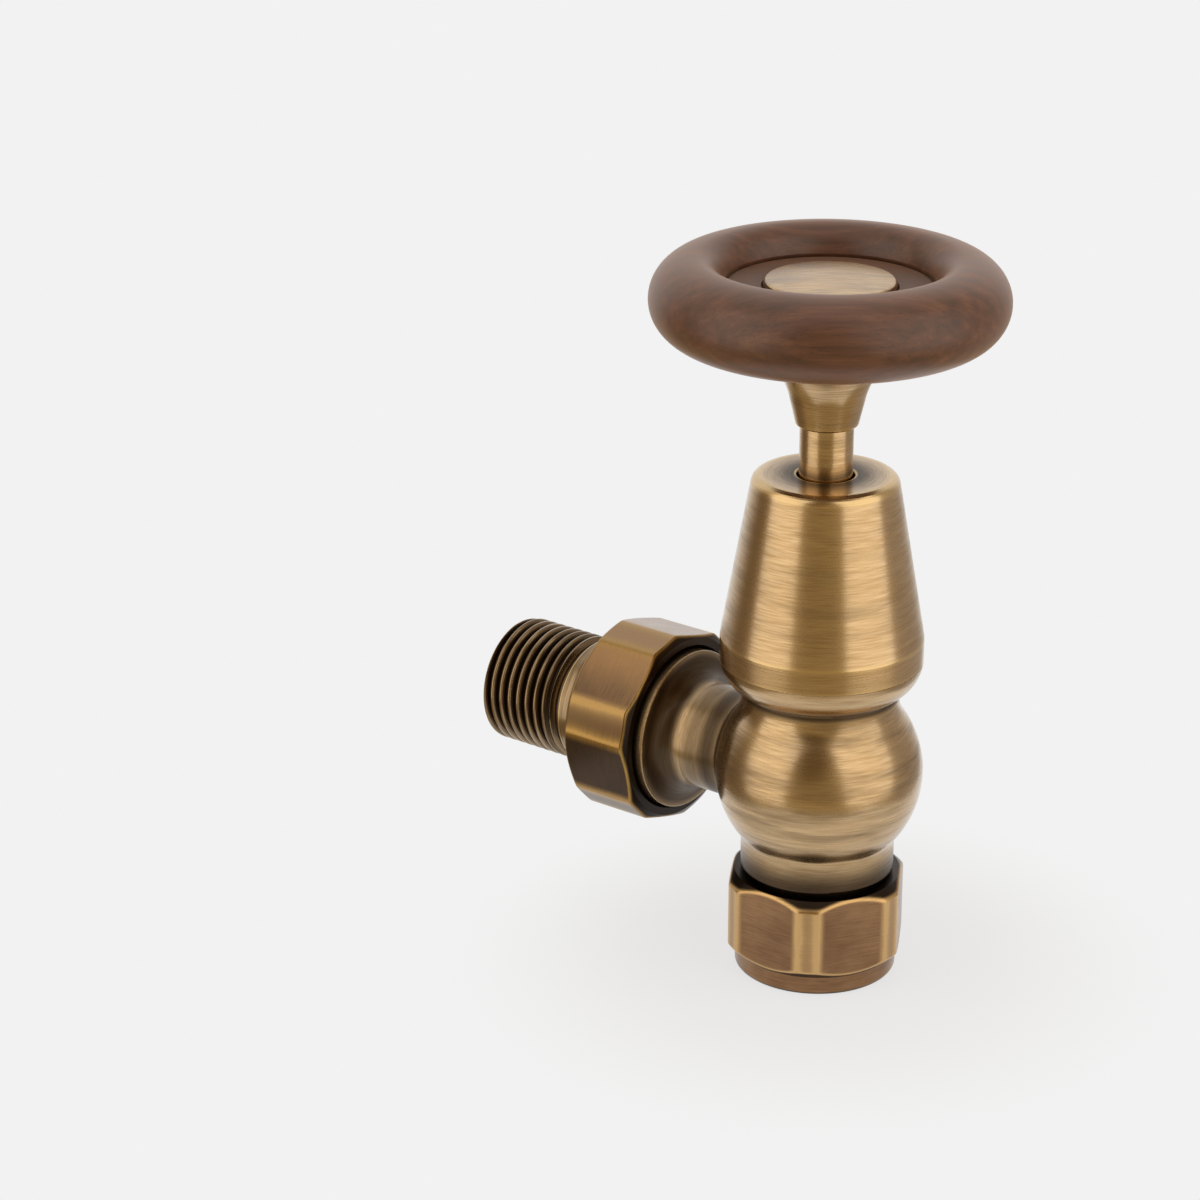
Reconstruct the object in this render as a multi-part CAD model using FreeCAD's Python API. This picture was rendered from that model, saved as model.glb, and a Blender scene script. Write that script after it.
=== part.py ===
"""Manual radiator valve, angle pattern, with a wooden hand wheel.

Millimetres. The origin is the centre of the pipe hole in the foot of the compression nut, +Z runs up
the spindle and the radiator tail leaves along -X. The valve is shown open, with its spindle raised.
"""
import FreeCAD, Part
import math
import os
from collections import namedtuple

Vector = FreeCAD.Vector

# Pipe end: compression nut, olive and the threaded inlet of the body
PIPE_RADIUS = 7.5
PIPE_CLEARANCE = 0.1
PIPE_INSERTION = 19.0
INLET_THREAD_RADIUS = 11.0
THREAD_CLEARANCE = 0.15
FOOT_NUT_FLATS = 27.3
FOOT_NUT_CORNERS = 29.65
FOOT_NUT_HEIGHT = 16.8
FOOT_NUT_FLOOR = 3.2
FOOT_NUT_RING_RADIUS = 13.0
FOOT_NUT_RING_HEIGHT = 3.2
FOOT_NUT_TURN = 0.0
FOOT_NUT_TRAVEL = 0.5
OLIVE_RADIUS = 9.0
OLIVE_LIP = 0.25
OLIVE_HEIGHT = 6.4
SEATED_GAP = 0.2

# Body: ball, necks and the waterway
BALL_RADIUS = 16.55
INLET_BAND_RADIUS = 12.3
INLET_BAND_BLEND = 3.0
INLET_NECK_LENGTH = 16.6
HEAD_NECK_RADIUS = 12.5
HEAD_NECK_BLEND = 5.0
HEAD_NECK_LENGTH = 19.1
COLLAR_RADIUS = 16.1
COLLAR_ROUND = 4.8
COLLAR_FOOT_RADIUS = 12.95
SHROUD_SPIGOT_RADIUS = 14.0
SHROUD_SPIGOT_HEIGHT = 3.0
SEAT_BORE_RADIUS = 5.5
SEAT_RADIUS = 7.2
SEAT_LIP = 1.0
SEAT_DEPTH = 7.6
CHAMBER_RADIUS = 9.2
SIDE_PORT_RADIUS = 6.5

# Radiator end: union spigot, union nut, washer and tail
UNION_NECK_RADIUS = 8.7
UNION_NECK_BLEND = 1.2
UNION_NECK_REACH = 21.7
UNION_RIM = 0.45
UNION_THREAD_RADIUS = 13.22
UNION_THREAD_START = 25.6
UNION_THREAD_LENGTH = 8.4
UNION_NUT_FLATS = 30.8
UNION_NUT_CORNERS = 32.2
UNION_NUT_LENGTH = 14.4
UNION_NUT_LIP = 3.8
UNION_NUT_TURN = 45.0
UNION_WASHER_THICKNESS = 1.5
TAIL_FLANGE_RADIUS = 12.6
TAIL_FLANGE_THICKNESS = 2.0
TAIL_SHANK_RADIUS = 10.35
TAIL_THREAD_RADIUS = 10.4775
TAIL_THREAD_LENGTH = 15.2
TAIL_SHANK_SHOWING = 5.0
TAIL_RELIEF_RADIUS = 9.3
TAIL_RELIEF_WIDTH = 1.2
TAIL_BORE_RADIUS = 6.2
TAIL_KEY_FLATS = 12.7
TAIL_KEY_DEPTH = 12.0

# Head: bonnet, gland and shroud
BONNET_THREAD_RADIUS = 10.0
BONNET_THREAD_LENGTH = 11.5
BONNET_HEX_FLATS = 22.0
BONNET_HEX_HEIGHT = 5.0
BONNET_WASHER_THICKNESS = 1.0
BONNET_WASHER_RADIUS = 12.6
BONNET_NECK_RADIUS = 8.2
PACKING_BOX_RADIUS = 6.4
PACKING_BOX_DEPTH = 8.0
PACKING_RINGS = 3
PACKING_RING_HEIGHT = 1.5
BACK_SEAT_THICKNESS = 2.0
GLAND_FOLLOWER_HEIGHT = 4.5
GLAND_NUT_FLATS = 19.0
GLAND_NUT_ROOF = 3.0
GLAND_NUT_SKIRT = 6.0
SHROUD_WALL = 1.6
SHROUD_ROOF = 2.0
SHROUD_BAND = 4.0
SHROUD_HEIGHT = 30.7
SHROUD_TOP_RADIUS = 11.4
SHROUD_TOP_ROUND = 1.6
SHROUD_HOLE_GAP = 0.35

# Spindle and the disc that closes the seat
SPINDLE_PITCH = 1.5
SPINDLE_TURNS = 3
STEM_RADIUS = 4.2
STEM_SHOWING = 8.1
STEM_SQUARE = 5.9
SPINDLE_THREAD_RADIUS = 5.0
SPINDLE_THREAD_LENGTH = 17.0
SPINDLE_FOOT_RADIUS = 3.6
SPINDLE_FOOT_DEPTH = 5.2
CLIP_WIRE_RADIUS = 0.42
DISC_RADIUS = 8.0
DISC_THICKNESS = 2.5
DISC_SOCKET_RADIUS = 5.4
SEAT_WASHER_RADIUS = 7.6
SEAT_WASHER_THICKNESS = 3.0
WASHER_SCREW_RADIUS = 1.5
WASHER_SCREW_HEAD = 3.0
WASHER_SCREW_HEAD_HEIGHT = 0.95
RUNNING_GAP = 0.1

# Hand wheel: hub, wooden ring, screw and cap
HUB_FOOT_RADIUS = 4.85
HUB_CONE_RADIUS = 5.85
HUB_CONE_HEIGHT = 4.2
HUB_FLARE_RADIUS = 11.0
HUB_HEIGHT = 14.2
HUB_RIM = 1.1
HUB_SQUARE = 9.0
HUB_SQUARE_HEIGHT = 3.0
WHEEL_RADIUS = 27.7
RIM_OUTER_HALF_WIDTH = 7.05
RIM_INNER_HALF_WIDTH = 4.75
RIM_HALF_HEIGHT = 6.65
RIM_DROP = 0.85
WEB_THICKNESS = 8.0
CAP_RADIUS = 10.2
CAP_HEIGHT = 2.1
CAP_CROWN = 0.35
CAP_RECESS = 0.8
CAP_ROUND = 0.6
CAP_SKIRT_RADIUS = 8.0
CAP_SKIRT_WALL = 1.0
SCREW_POCKET_DEPTH = 4.8
WHEEL_SCREW_RADIUS = 2.5
WHEEL_SCREW_HEAD_RADIUS = 4.2
WHEEL_SCREW_HEAD_HEIGHT = 2.6
WHEEL_SCREW_LENGTH = 12.0
WHEEL_SCREW_SLOT = 1.2
SCREW_WASHER_RADIUS = 6.6
SCREW_WASHER_THICKNESS = 1.0
FIT_GAP = 0.05

# Edge breaks
EDGE = 0.4
FINE_EDGE = 0.25

# Heights that follow from the sizes above
pipe_bore = PIPE_RADIUS + PIPE_CLEARANCE
shoulder_z = FOOT_NUT_HEIGHT + FOOT_NUT_TRAVEL + RUNNING_GAP
ball_z = shoulder_z + INLET_NECK_LENGTH
collar_z = ball_z + HEAD_NECK_LENGTH
spigot_z = collar_z + SHROUD_SPIGOT_HEIGHT
seat_z = ball_z - SEAT_DEPTH
lift = SPINDLE_PITCH * SPINDLE_TURNS
bonnet_hex_z = spigot_z + BONNET_WASHER_THICKNESS
bonnet_foot_z = spigot_z - BONNET_THREAD_LENGTH
bonnet_neck_z = bonnet_hex_z + BONNET_HEX_HEIGHT
packing_floor_z = bonnet_neck_z
bonnet_top_z = packing_floor_z + PACKING_BOX_DEPTH
back_seat_z = packing_floor_z - BACK_SEAT_THICKNESS
follower_z = packing_floor_z + PACKING_RINGS * PACKING_RING_HEIGHT
follower_top_z = follower_z + GLAND_FOLLOWER_HEIGHT
shroud_top_z = collar_z + SHROUD_HEIGHT
hub_z = shroud_top_z + STEM_SHOWING
web_z = hub_z + HUB_HEIGHT
floor_z = web_z + WEB_THICKNESS
rim_z = web_z - RIM_DROP + RIM_HALF_HEIGHT
rim_radius = WHEEL_RADIUS - RIM_OUTER_HALF_WIDTH
pocket_z = floor_z - SCREW_POCKET_DEPTH
cap_seat_z = floor_z - CAP_RECESS
washer_z = seat_z + lift + FIT_GAP
disc_z = washer_z + SEAT_WASHER_THICKNESS
disc_top_z = disc_z + DISC_THICKNESS
foot_z = disc_top_z + RUNNING_GAP
stem_bore = STEM_RADIUS + RUNNING_GAP

# Distances along the tail, from the spindle's axis
union_face_s = UNION_THREAD_START + UNION_THREAD_LENGTH
flange_s = union_face_s + UNION_WASHER_THICKNESS
shank_s = flange_s + TAIL_FLANGE_THICKNESS
nut_shoulder_s = shank_s + SEATED_GAP
nut_end_s = nut_shoulder_s + UNION_NUT_LIP
nut_start_s = nut_end_s - UNION_NUT_LENGTH
tail_thread_s = nut_end_s + TAIL_SHANK_SHOWING
tail_end_s = tail_thread_s + TAIL_THREAD_LENGTH

Via = namedtuple("Via", "r z")


def round_corner(before, corner, after, radius):
    """Where a rounding arc starts, its middle and its end, for a corner between two straight runs."""
    point = Vector(corner[0], 0, corner[1])
    to_before = (Vector(before[0], 0, before[1]) - point).normalize()
    to_after = (Vector(after[0], 0, after[1]) - point).normalize()
    half_angle = to_before.getAngle(to_after) / 2
    along = radius / math.tan(half_angle)
    bisector = (to_before + to_after).normalize()
    middle = point + bisector * (radius / math.sin(half_angle) - radius)
    return point + to_before * along, middle, point + to_after * along


def outline(corners):
    """A closed wire of straight runs and arcs in the plane of r and z.

    A corner is (r, z), or (r, z, radius) to round it. A Via bends the run between its two neighbours
    into an arc through that point.
    """
    edges = []
    count = len(corners)
    starts, ends = [], []
    for i, corner in enumerate(corners):
        if isinstance(corner, Via) or len(corner) == 2:
            point = Vector(corner[0], 0, corner[1])
            starts.append(point)
            ends.append(point)
            continue
        first, middle, last = round_corner(corners[i - 1], corner, corners[(i + 1) % count], corner[2])
        edges.append(Part.Arc(first, middle, last).toShape())
        starts.append(first)
        ends.append(last)
    for i, corner in enumerate(corners):
        following = (i + 1) % count
        if isinstance(corner, Via):
            edges.append(Part.Arc(ends[i - 1], starts[i], starts[following]).toShape())
        elif not isinstance(corners[following], Via) and (starts[following] - ends[i]).Length > 1e-6:
            edges.append(Part.LineSegment(ends[i], starts[following]).toShape())
    return Part.Wire(Part.__sortEdges__(edges))


def turned(corners):
    """A solid turned about the Z axis."""
    return Part.Face(outline(corners)).revolve(Vector(0, 0, 0), Vector(0, 0, 1), 360)


def ring(inner, outer, low, high):
    """A plain ring about the Z axis."""
    return turned([(inner, low), (outer, low), (outer, high), (inner, high)])


def rod(radius, low, high):
    """A plain round bar on the Z axis."""
    return Part.makeCylinder(radius, high - low, Vector(0, 0, low))


def prism(across_flats, low, high, sides=6, turn=0.0):
    """An upright prism with that distance across its flats, turned about Z by degrees."""
    radius = across_flats / 2 / math.cos(math.pi / sides)
    step = 360.0 / sides
    angles = [math.radians(turn + step * i) for i in range(sides + 1)]
    points = [Vector(radius * math.cos(a), radius * math.sin(a), low) for a in angles]
    return Part.Face(Part.makePolygon(points)).extrude(Vector(0, 0, high - low))


def nut_blank(across_flats, across_corners, low, high, turn):
    """A hexagon bar whose six corners are planed off to narrow flats."""
    hexagon = prism(across_flats, low, high, turn=turn)
    return hexagon.common(prism(across_corners, low, high, turn=turn + 30.0))


def along_tail(shape):
    """Lays a piece that was built up the Z axis along the radiator tail, through the ball's centre."""
    laid = shape.copy()
    laid.rotate(Vector(0, 0, 0), Vector(0, 1, 0), -90)
    laid.translate(Vector(0, 0, ball_z))
    return laid


def ball_blend(neck_radius, blend_radius):
    """A hollow blend from a neck to the ball: its end on the neck, its middle and its end on the ball.

    Each is (distance from the neck's axis, distance from the ball's centre along that axis).
    """
    reach = BALL_RADIUS + blend_radius
    centre_r = neck_radius + blend_radius
    centre_z = math.sqrt(reach ** 2 - centre_r ** 2)
    to_ball = (-centre_r / reach, -centre_z / reach)
    middle = (to_ball[0] - 1.0, to_ball[1])
    size = math.hypot(*middle)
    on_arc = (centre_r + blend_radius * middle[0] / size, centre_z + blend_radius * middle[1] / size)
    on_ball = (BALL_RADIUS * centre_r / reach, BALL_RADIUS * centre_z / reach)
    return (neck_radius, centre_z), on_arc, on_ball


def compression_nut():
    """Hexagon nut with a turned foot ring, a floor the pipe passes and a cone that holds the olive."""
    corner = FOOT_NUT_CORNERS / 2 + EDGE
    crown = FOOT_NUT_FLATS / 2 - FINE_EDGE
    chamfer = (corner - crown) * math.tan(math.radians(42))
    spread = (corner - FOOT_NUT_RING_RADIUS) * math.tan(math.radians(40))
    turned_form = turned([
        (0, 0), (FOOT_NUT_RING_RADIUS, 0, 2 * EDGE),
        (FOOT_NUT_RING_RADIUS, FOOT_NUT_RING_HEIGHT), (corner, FOOT_NUT_RING_HEIGHT + spread),
        (corner, FOOT_NUT_HEIGHT - chamfer), (crown, FOOT_NUT_HEIGHT), (0, FOOT_NUT_HEIGHT)])
    blank = nut_blank(FOOT_NUT_FLATS, FOOT_NUT_CORNERS, 0, FOOT_NUT_HEIGHT, FOOT_NUT_TURN)
    ring_foot = rod(FOOT_NUT_RING_RADIUS, 0, FOOT_NUT_RING_HEIGHT)
    thread_bore = INLET_THREAD_RADIUS + THREAD_CLEARANCE
    cone_top = OLIVE_RADIUS + OLIVE_LIP
    hollow = turned([
        (0, 0), (pipe_bore, 0), (pipe_bore, FOOT_NUT_FLOOR),
        (cone_top, FOOT_NUT_FLOOR + cone_top - pipe_bore),
        (thread_bore, FOOT_NUT_FLOOR + cone_top - pipe_bore),
        (thread_bore, FOOT_NUT_HEIGHT - EDGE), (thread_bore + EDGE, FOOT_NUT_HEIGHT), (0, FOOT_NUT_HEIGHT)])
    return blank.fuse(ring_foot).common(turned_form).cut(hollow).removeSplitter()


# The olive lies in the nut's cone; the inlet's cone stays clear of it until the nut is turned up tight.
olive_z = FOOT_NUT_FLOOR + OLIVE_LIP + SEATED_GAP * math.sqrt(2)
olive_slope = OLIVE_RADIUS - pipe_bore - OLIVE_LIP
inlet_z = olive_z + OLIVE_HEIGHT - olive_slope - OLIVE_LIP + FOOT_NUT_TRAVEL + SEATED_GAP * math.sqrt(2)
inlet_mouth = OLIVE_RADIUS + OLIVE_LIP


def olive():
    """Barrel ring that the nut squeezes on to the pipe."""
    top = olive_z + OLIVE_HEIGHT
    lip = pipe_bore + OLIVE_LIP
    return turned([
        (pipe_bore, olive_z), (lip, olive_z), (OLIVE_RADIUS, olive_z + olive_slope),
        (OLIVE_RADIUS, top - olive_slope), (lip, top), (pipe_bore, top)])


def valve_body():
    """Forged body: threaded inlet, ball, collar for the head and threaded spigot for the union."""
    band_neck, band_middle, band_ball = ball_blend(INLET_BAND_RADIUS, INLET_BAND_BLEND)
    head_neck, head_middle, head_ball = ball_blend(HEAD_NECK_RADIUS, HEAD_NECK_BLEND)
    side_neck, side_middle, side_ball = ball_blend(UNION_NECK_RADIUS, UNION_NECK_BLEND)
    collar_foot_z = collar_z - COLLAR_ROUND
    collar_middle = Via(
        COLLAR_FOOT_RADIUS + (COLLAR_RADIUS - COLLAR_FOOT_RADIUS) * 0.62, collar_z - COLLAR_ROUND * 0.64)
    bonnet_bore = BONNET_THREAD_RADIUS + THREAD_CLEARANCE
    trunk = turned([
        (0, inlet_z), (INLET_THREAD_RADIUS - EDGE, inlet_z), (INLET_THREAD_RADIUS, inlet_z + EDGE),
        (INLET_THREAD_RADIUS, shoulder_z), (INLET_BAND_RADIUS, shoulder_z, EDGE),
        (band_neck[0], ball_z - band_neck[1]), Via(band_middle[0], ball_z - band_middle[1]),
        (band_ball[0], ball_z - band_ball[1]), Via(BALL_RADIUS, ball_z),
        (head_ball[0], ball_z + head_ball[1]), Via(head_middle[0], ball_z + head_middle[1]),
        (head_neck[0], ball_z + head_neck[1]), (HEAD_NECK_RADIUS, collar_foot_z, EDGE),
        (COLLAR_FOOT_RADIUS, collar_foot_z), collar_middle, (COLLAR_RADIUS, collar_z),
        (SHROUD_SPIGOT_RADIUS, collar_z), (SHROUD_SPIGOT_RADIUS, spigot_z), (0, spigot_z)])
    rim_radius = UNION_THREAD_RADIUS - UNION_RIM
    cove_middle = Via(
        UNION_NECK_RADIUS + (rim_radius - UNION_NECK_RADIUS) * 0.29,
        UNION_NECK_REACH + (UNION_THREAD_START - UNION_NECK_REACH) * 0.71)
    branch = turned([
        (0, 0), (side_ball[0], side_ball[1]), Via(*side_middle), side_neck,
        (UNION_NECK_RADIUS, UNION_NECK_REACH), cove_middle, (rim_radius, UNION_THREAD_START),
        (UNION_THREAD_RADIUS, UNION_THREAD_START, FINE_EDGE), (UNION_THREAD_RADIUS, union_face_s - EDGE),
        (UNION_THREAD_RADIUS - EDGE, union_face_s), (0, union_face_s)])
    mouth_depth = inlet_mouth - pipe_bore
    waterway = turned([
        (0, inlet_z), (inlet_mouth, inlet_z), (pipe_bore, inlet_z + mouth_depth),
        (pipe_bore, PIPE_INSERTION), (SEAT_BORE_RADIUS, PIPE_INSERTION + pipe_bore - SEAT_BORE_RADIUS),
        (SEAT_BORE_RADIUS, seat_z), (SEAT_RADIUS, seat_z), (SEAT_RADIUS, seat_z - SEAT_LIP),
        (CHAMBER_RADIUS, seat_z - SEAT_LIP), (CHAMBER_RADIUS, bonnet_foot_z - EDGE),
        (bonnet_bore, bonnet_foot_z - EDGE), (bonnet_bore, spigot_z), (0, spigot_z)])
    side_port = along_tail(rod(SIDE_PORT_RADIUS, 0, union_face_s))
    return trunk.fuse(along_tail(branch)).removeSplitter().cut(waterway).cut(side_port)


def union_washer():
    """Flat fibre washer between the spigot's face and the flange of the tail."""
    return along_tail(ring(SIDE_PORT_RADIUS + EDGE, TAIL_FLANGE_RADIUS - EDGE, union_face_s, flange_s))


def union_nut():
    """Large nut with planed corners, chamfered long towards the tail and short towards the body."""
    corner = UNION_NUT_CORNERS / 2 + EDGE
    mouth = UNION_THREAD_RADIUS + THREAD_CLEARANCE
    tail_hole = TAIL_THREAD_RADIUS + FINE_EDGE
    nose = TAIL_FLANGE_RADIUS + EDGE
    short = (corner - UNION_NUT_FLATS / 2 + EDGE) * math.tan(math.radians(30))
    long = (corner - nose) * 0.75
    turned_form = turned([
        (0, nut_start_s), (UNION_NUT_FLATS / 2 - EDGE, nut_start_s), (corner, nut_start_s + short),
        (corner, nut_end_s - long), (nose, nut_end_s), (0, nut_end_s)])
    blank = nut_blank(UNION_NUT_FLATS, UNION_NUT_CORNERS, nut_start_s, nut_end_s, UNION_NUT_TURN)
    hollow = turned([
        (0, nut_start_s), (mouth + EDGE, nut_start_s), (mouth, nut_start_s + EDGE), (mouth, nut_shoulder_s),
        (tail_hole, nut_shoulder_s), (tail_hole, nut_end_s), (0, nut_end_s)])
    return along_tail(blank.common(turned_form).cut(hollow).removeSplitter())


def tailpiece():
    """Radiator tail: flange under the nut, plain shank, the pipe thread's outside and a hexagon key socket."""
    key_s = tail_end_s - TAIL_KEY_DEPTH
    relief_s = tail_thread_s - TAIL_RELIEF_WIDTH
    blank = turned([
        (TAIL_BORE_RADIUS, flange_s), (TAIL_FLANGE_RADIUS, flange_s), (TAIL_FLANGE_RADIUS, shank_s),
        (TAIL_SHANK_RADIUS, shank_s), (TAIL_SHANK_RADIUS, relief_s), (TAIL_RELIEF_RADIUS, relief_s),
        (TAIL_RELIEF_RADIUS, tail_thread_s), (TAIL_THREAD_RADIUS, tail_thread_s),
        (TAIL_THREAD_RADIUS, tail_end_s - EDGE), (TAIL_THREAD_RADIUS - EDGE, tail_end_s),
        (TAIL_BORE_RADIUS, tail_end_s)])
    return along_tail(blank.cut(prism(TAIL_KEY_FLATS, key_s, tail_end_s)))


def bonnet_washer():
    """Fibre washer under the bonnet's hexagon."""
    return ring(BONNET_THREAD_RADIUS + THREAD_CLEARANCE, BONNET_WASHER_RADIUS, spigot_z, bonnet_hex_z)


def bonnet():
    """Screwed headpiece that guides the spindle's thread and holds the stem packing."""
    thread_bore = SPINDLE_THREAD_RADIUS + RUNNING_GAP
    blank = turned([
        (thread_bore, bonnet_foot_z), (BONNET_THREAD_RADIUS - EDGE, bonnet_foot_z),
        (BONNET_THREAD_RADIUS, bonnet_foot_z + EDGE), (BONNET_THREAD_RADIUS, bonnet_hex_z),
        (BONNET_NECK_RADIUS, bonnet_hex_z), (BONNET_NECK_RADIUS, bonnet_top_z),
        (PACKING_BOX_RADIUS, bonnet_top_z), (PACKING_BOX_RADIUS, packing_floor_z),
        (stem_bore, packing_floor_z), (stem_bore, back_seat_z), (thread_bore, back_seat_z)])
    hexagon = prism(BONNET_HEX_FLATS, bonnet_hex_z, bonnet_neck_z)
    return blank.fuse(hexagon.cut(rod(BONNET_NECK_RADIUS, bonnet_hex_z, bonnet_neck_z))).removeSplitter()


def stem_packing():
    """Square rings pressed round the stem, one on another."""
    lows = [packing_floor_z + i * PACKING_RING_HEIGHT for i in range(PACKING_RINGS)]
    return Part.makeCompound([
        ring(stem_bore, PACKING_BOX_RADIUS - FIT_GAP, low, low + PACKING_RING_HEIGHT) for low in lows])


def gland_follower():
    """Collar that the gland nut presses on the packing."""
    return ring(stem_bore, PACKING_BOX_RADIUS - RUNNING_GAP, follower_z, follower_top_z)


def gland_nut():
    """Hexagon cap nut on the bonnet's neck."""
    low = follower_top_z - GLAND_NUT_SKIRT
    high = follower_top_z + GLAND_NUT_ROOF
    thread_bore = BONNET_NECK_RADIUS + THREAD_CLEARANCE
    hollow = turned([
        (0, low), (thread_bore, low), (thread_bore, follower_top_z),
        (stem_bore, follower_top_z), (stem_bore, high), (0, high)])
    return prism(GLAND_NUT_FLATS, low, high).cut(hollow)


def shroud():
    """Tapered cover over the head, hollow, with a rounded top edge and a hole for the stem."""
    band_z = collar_z + SHROUD_BAND
    hole = STEM_RADIUS + SHROUD_HOLE_GAP
    taper = (COLLAR_RADIUS - SHROUD_TOP_RADIUS) / (SHROUD_HEIGHT - SHROUD_BAND)
    roof_z = shroud_top_z - SHROUD_ROOF
    inside_top = SHROUD_TOP_RADIUS + taper * SHROUD_ROOF - SHROUD_WALL
    spigot_bore = SHROUD_SPIGOT_RADIUS + FIT_GAP
    inside_foot = COLLAR_RADIUS - SHROUD_WALL - FINE_EDGE - taper * (spigot_z + EDGE - band_z)
    return turned([
        (spigot_bore, collar_z), (COLLAR_RADIUS - FINE_EDGE, collar_z),
        (COLLAR_RADIUS, collar_z + FINE_EDGE), (COLLAR_RADIUS, band_z),
        (SHROUD_TOP_RADIUS, shroud_top_z, SHROUD_TOP_ROUND), (hole, shroud_top_z), (hole, roof_z),
        (inside_top, roof_z), (inside_foot, spigot_z + EDGE), (spigot_bore, spigot_z + EDGE)])


def disc_holder():
    """Plate above the seat washer with a socket that swivels on the foot of the spindle."""
    socket = SPINDLE_FOOT_RADIUS + RUNNING_GAP
    top = foot_z + SPINDLE_FOOT_DEPTH
    clip_z = foot_z + SPINDLE_FOOT_DEPTH / 2
    groove = socket + CLIP_WIRE_RADIUS
    half = CLIP_WIRE_RADIUS + RUNNING_GAP
    screw_hole = WASHER_SCREW_RADIUS + FIT_GAP
    return turned([
        (screw_hole, disc_z), (DISC_RADIUS, disc_z), (DISC_RADIUS, disc_top_z - EDGE),
        (DISC_RADIUS - EDGE, disc_top_z), (DISC_SOCKET_RADIUS, disc_top_z), (DISC_SOCKET_RADIUS, top),
        (socket, top), (socket, clip_z + half), (groove, clip_z + half), (groove, clip_z - half),
        (socket, clip_z - half), (socket, disc_top_z), (screw_hole, disc_top_z)])


def seat_washer():
    """Rubber washer that closes on the seat."""
    return ring(WASHER_SCREW_RADIUS + FIT_GAP, SEAT_WASHER_RADIUS, washer_z, disc_z)


def washer_screw():
    """Small screw that holds the washer to its plate."""
    head = rod(WASHER_SCREW_HEAD, washer_z - WASHER_SCREW_HEAD_HEIGHT, washer_z)
    return head.fuse(rod(WASHER_SCREW_RADIUS, washer_z, disc_top_z - EDGE)).removeSplitter()


def spindle():
    """Rising spindle: grooved foot, screw thread, plain stem and a square for the hub."""
    clip_z = foot_z + SPINDLE_FOOT_DEPTH / 2
    half = CLIP_WIRE_RADIUS + RUNNING_GAP
    groove = SPINDLE_FOOT_RADIUS - CLIP_WIRE_RADIUS - FIT_GAP
    thread_top = back_seat_z - SEATED_GAP
    thread_foot = thread_top - SPINDLE_THREAD_LENGTH
    square_top = web_z + HUB_SQUARE_HEIGHT / 2
    shaft = turned([
        (0, foot_z), (SPINDLE_FOOT_RADIUS - EDGE, foot_z), (SPINDLE_FOOT_RADIUS, foot_z + EDGE),
        (SPINDLE_FOOT_RADIUS, clip_z - half), (groove, clip_z - half), (groove, clip_z + half),
        (SPINDLE_FOOT_RADIUS, clip_z + half), (SPINDLE_FOOT_RADIUS, thread_foot),
        (SPINDLE_THREAD_RADIUS - EDGE, thread_foot), (SPINDLE_THREAD_RADIUS, thread_foot + EDGE),
        (SPINDLE_THREAD_RADIUS, thread_top), (STEM_RADIUS, thread_top), (STEM_RADIUS, hub_z), (0, hub_z)])
    square = prism(STEM_SQUARE, hub_z, square_top, sides=4, turn=45.0)
    tapped = rod(WHEEL_SCREW_RADIUS + FIT_GAP, pocket_z - WHEEL_SCREW_LENGTH, square_top)
    return shaft.fuse(square).removeSplitter().cut(tapped)


def disc_clip():
    """Wire ring that keeps the disc holder on the spindle."""
    clip_z = foot_z + SPINDLE_FOOT_DEPTH / 2
    return Part.makeTorus(SPINDLE_FOOT_RADIUS, CLIP_WIRE_RADIUS, Vector(0, 0, clip_z))


def wheel_hub():
    """Trumpet-shaped pedestal: rounded foot, cone, flare, and a square that turns the wheel."""
    cone_z = hub_z + HUB_CONE_HEIGHT
    flare_z = web_z - HUB_RIM
    bend_r = HUB_CONE_RADIUS + (HUB_FLARE_RADIUS - HUB_CONE_RADIUS) * 0.34
    bend = Via(bend_r, cone_z + (flare_z - cone_z) * 0.6)
    square_top = web_z + HUB_SQUARE_HEIGHT
    blank = turned([
        (0, hub_z), (HUB_FOOT_RADIUS, hub_z, 2 * EDGE), (HUB_CONE_RADIUS, cone_z), bend,
        (HUB_FLARE_RADIUS, flare_z), (HUB_FLARE_RADIUS, web_z), (0, web_z)])
    drive = prism(HUB_SQUARE, web_z, square_top, sides=4, turn=45.0)
    socket_top = web_z + HUB_SQUARE_HEIGHT / 2 + FIT_GAP
    socket = prism(STEM_SQUARE + 2 * FIT_GAP, hub_z, socket_top, sides=4, turn=45.0)
    screw_hole = rod(WHEEL_SCREW_RADIUS + FIT_GAP, web_z, square_top)
    return blank.fuse(drive).removeSplitter().cut(socket).cut(screw_hole)


def rim_point(angle, half_width):
    """A point of the rim's oval section, by the angle from the horizontal."""
    return (rim_radius + half_width * math.cos(angle), rim_z + RIM_HALF_HEIGHT * math.sin(angle))


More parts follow.
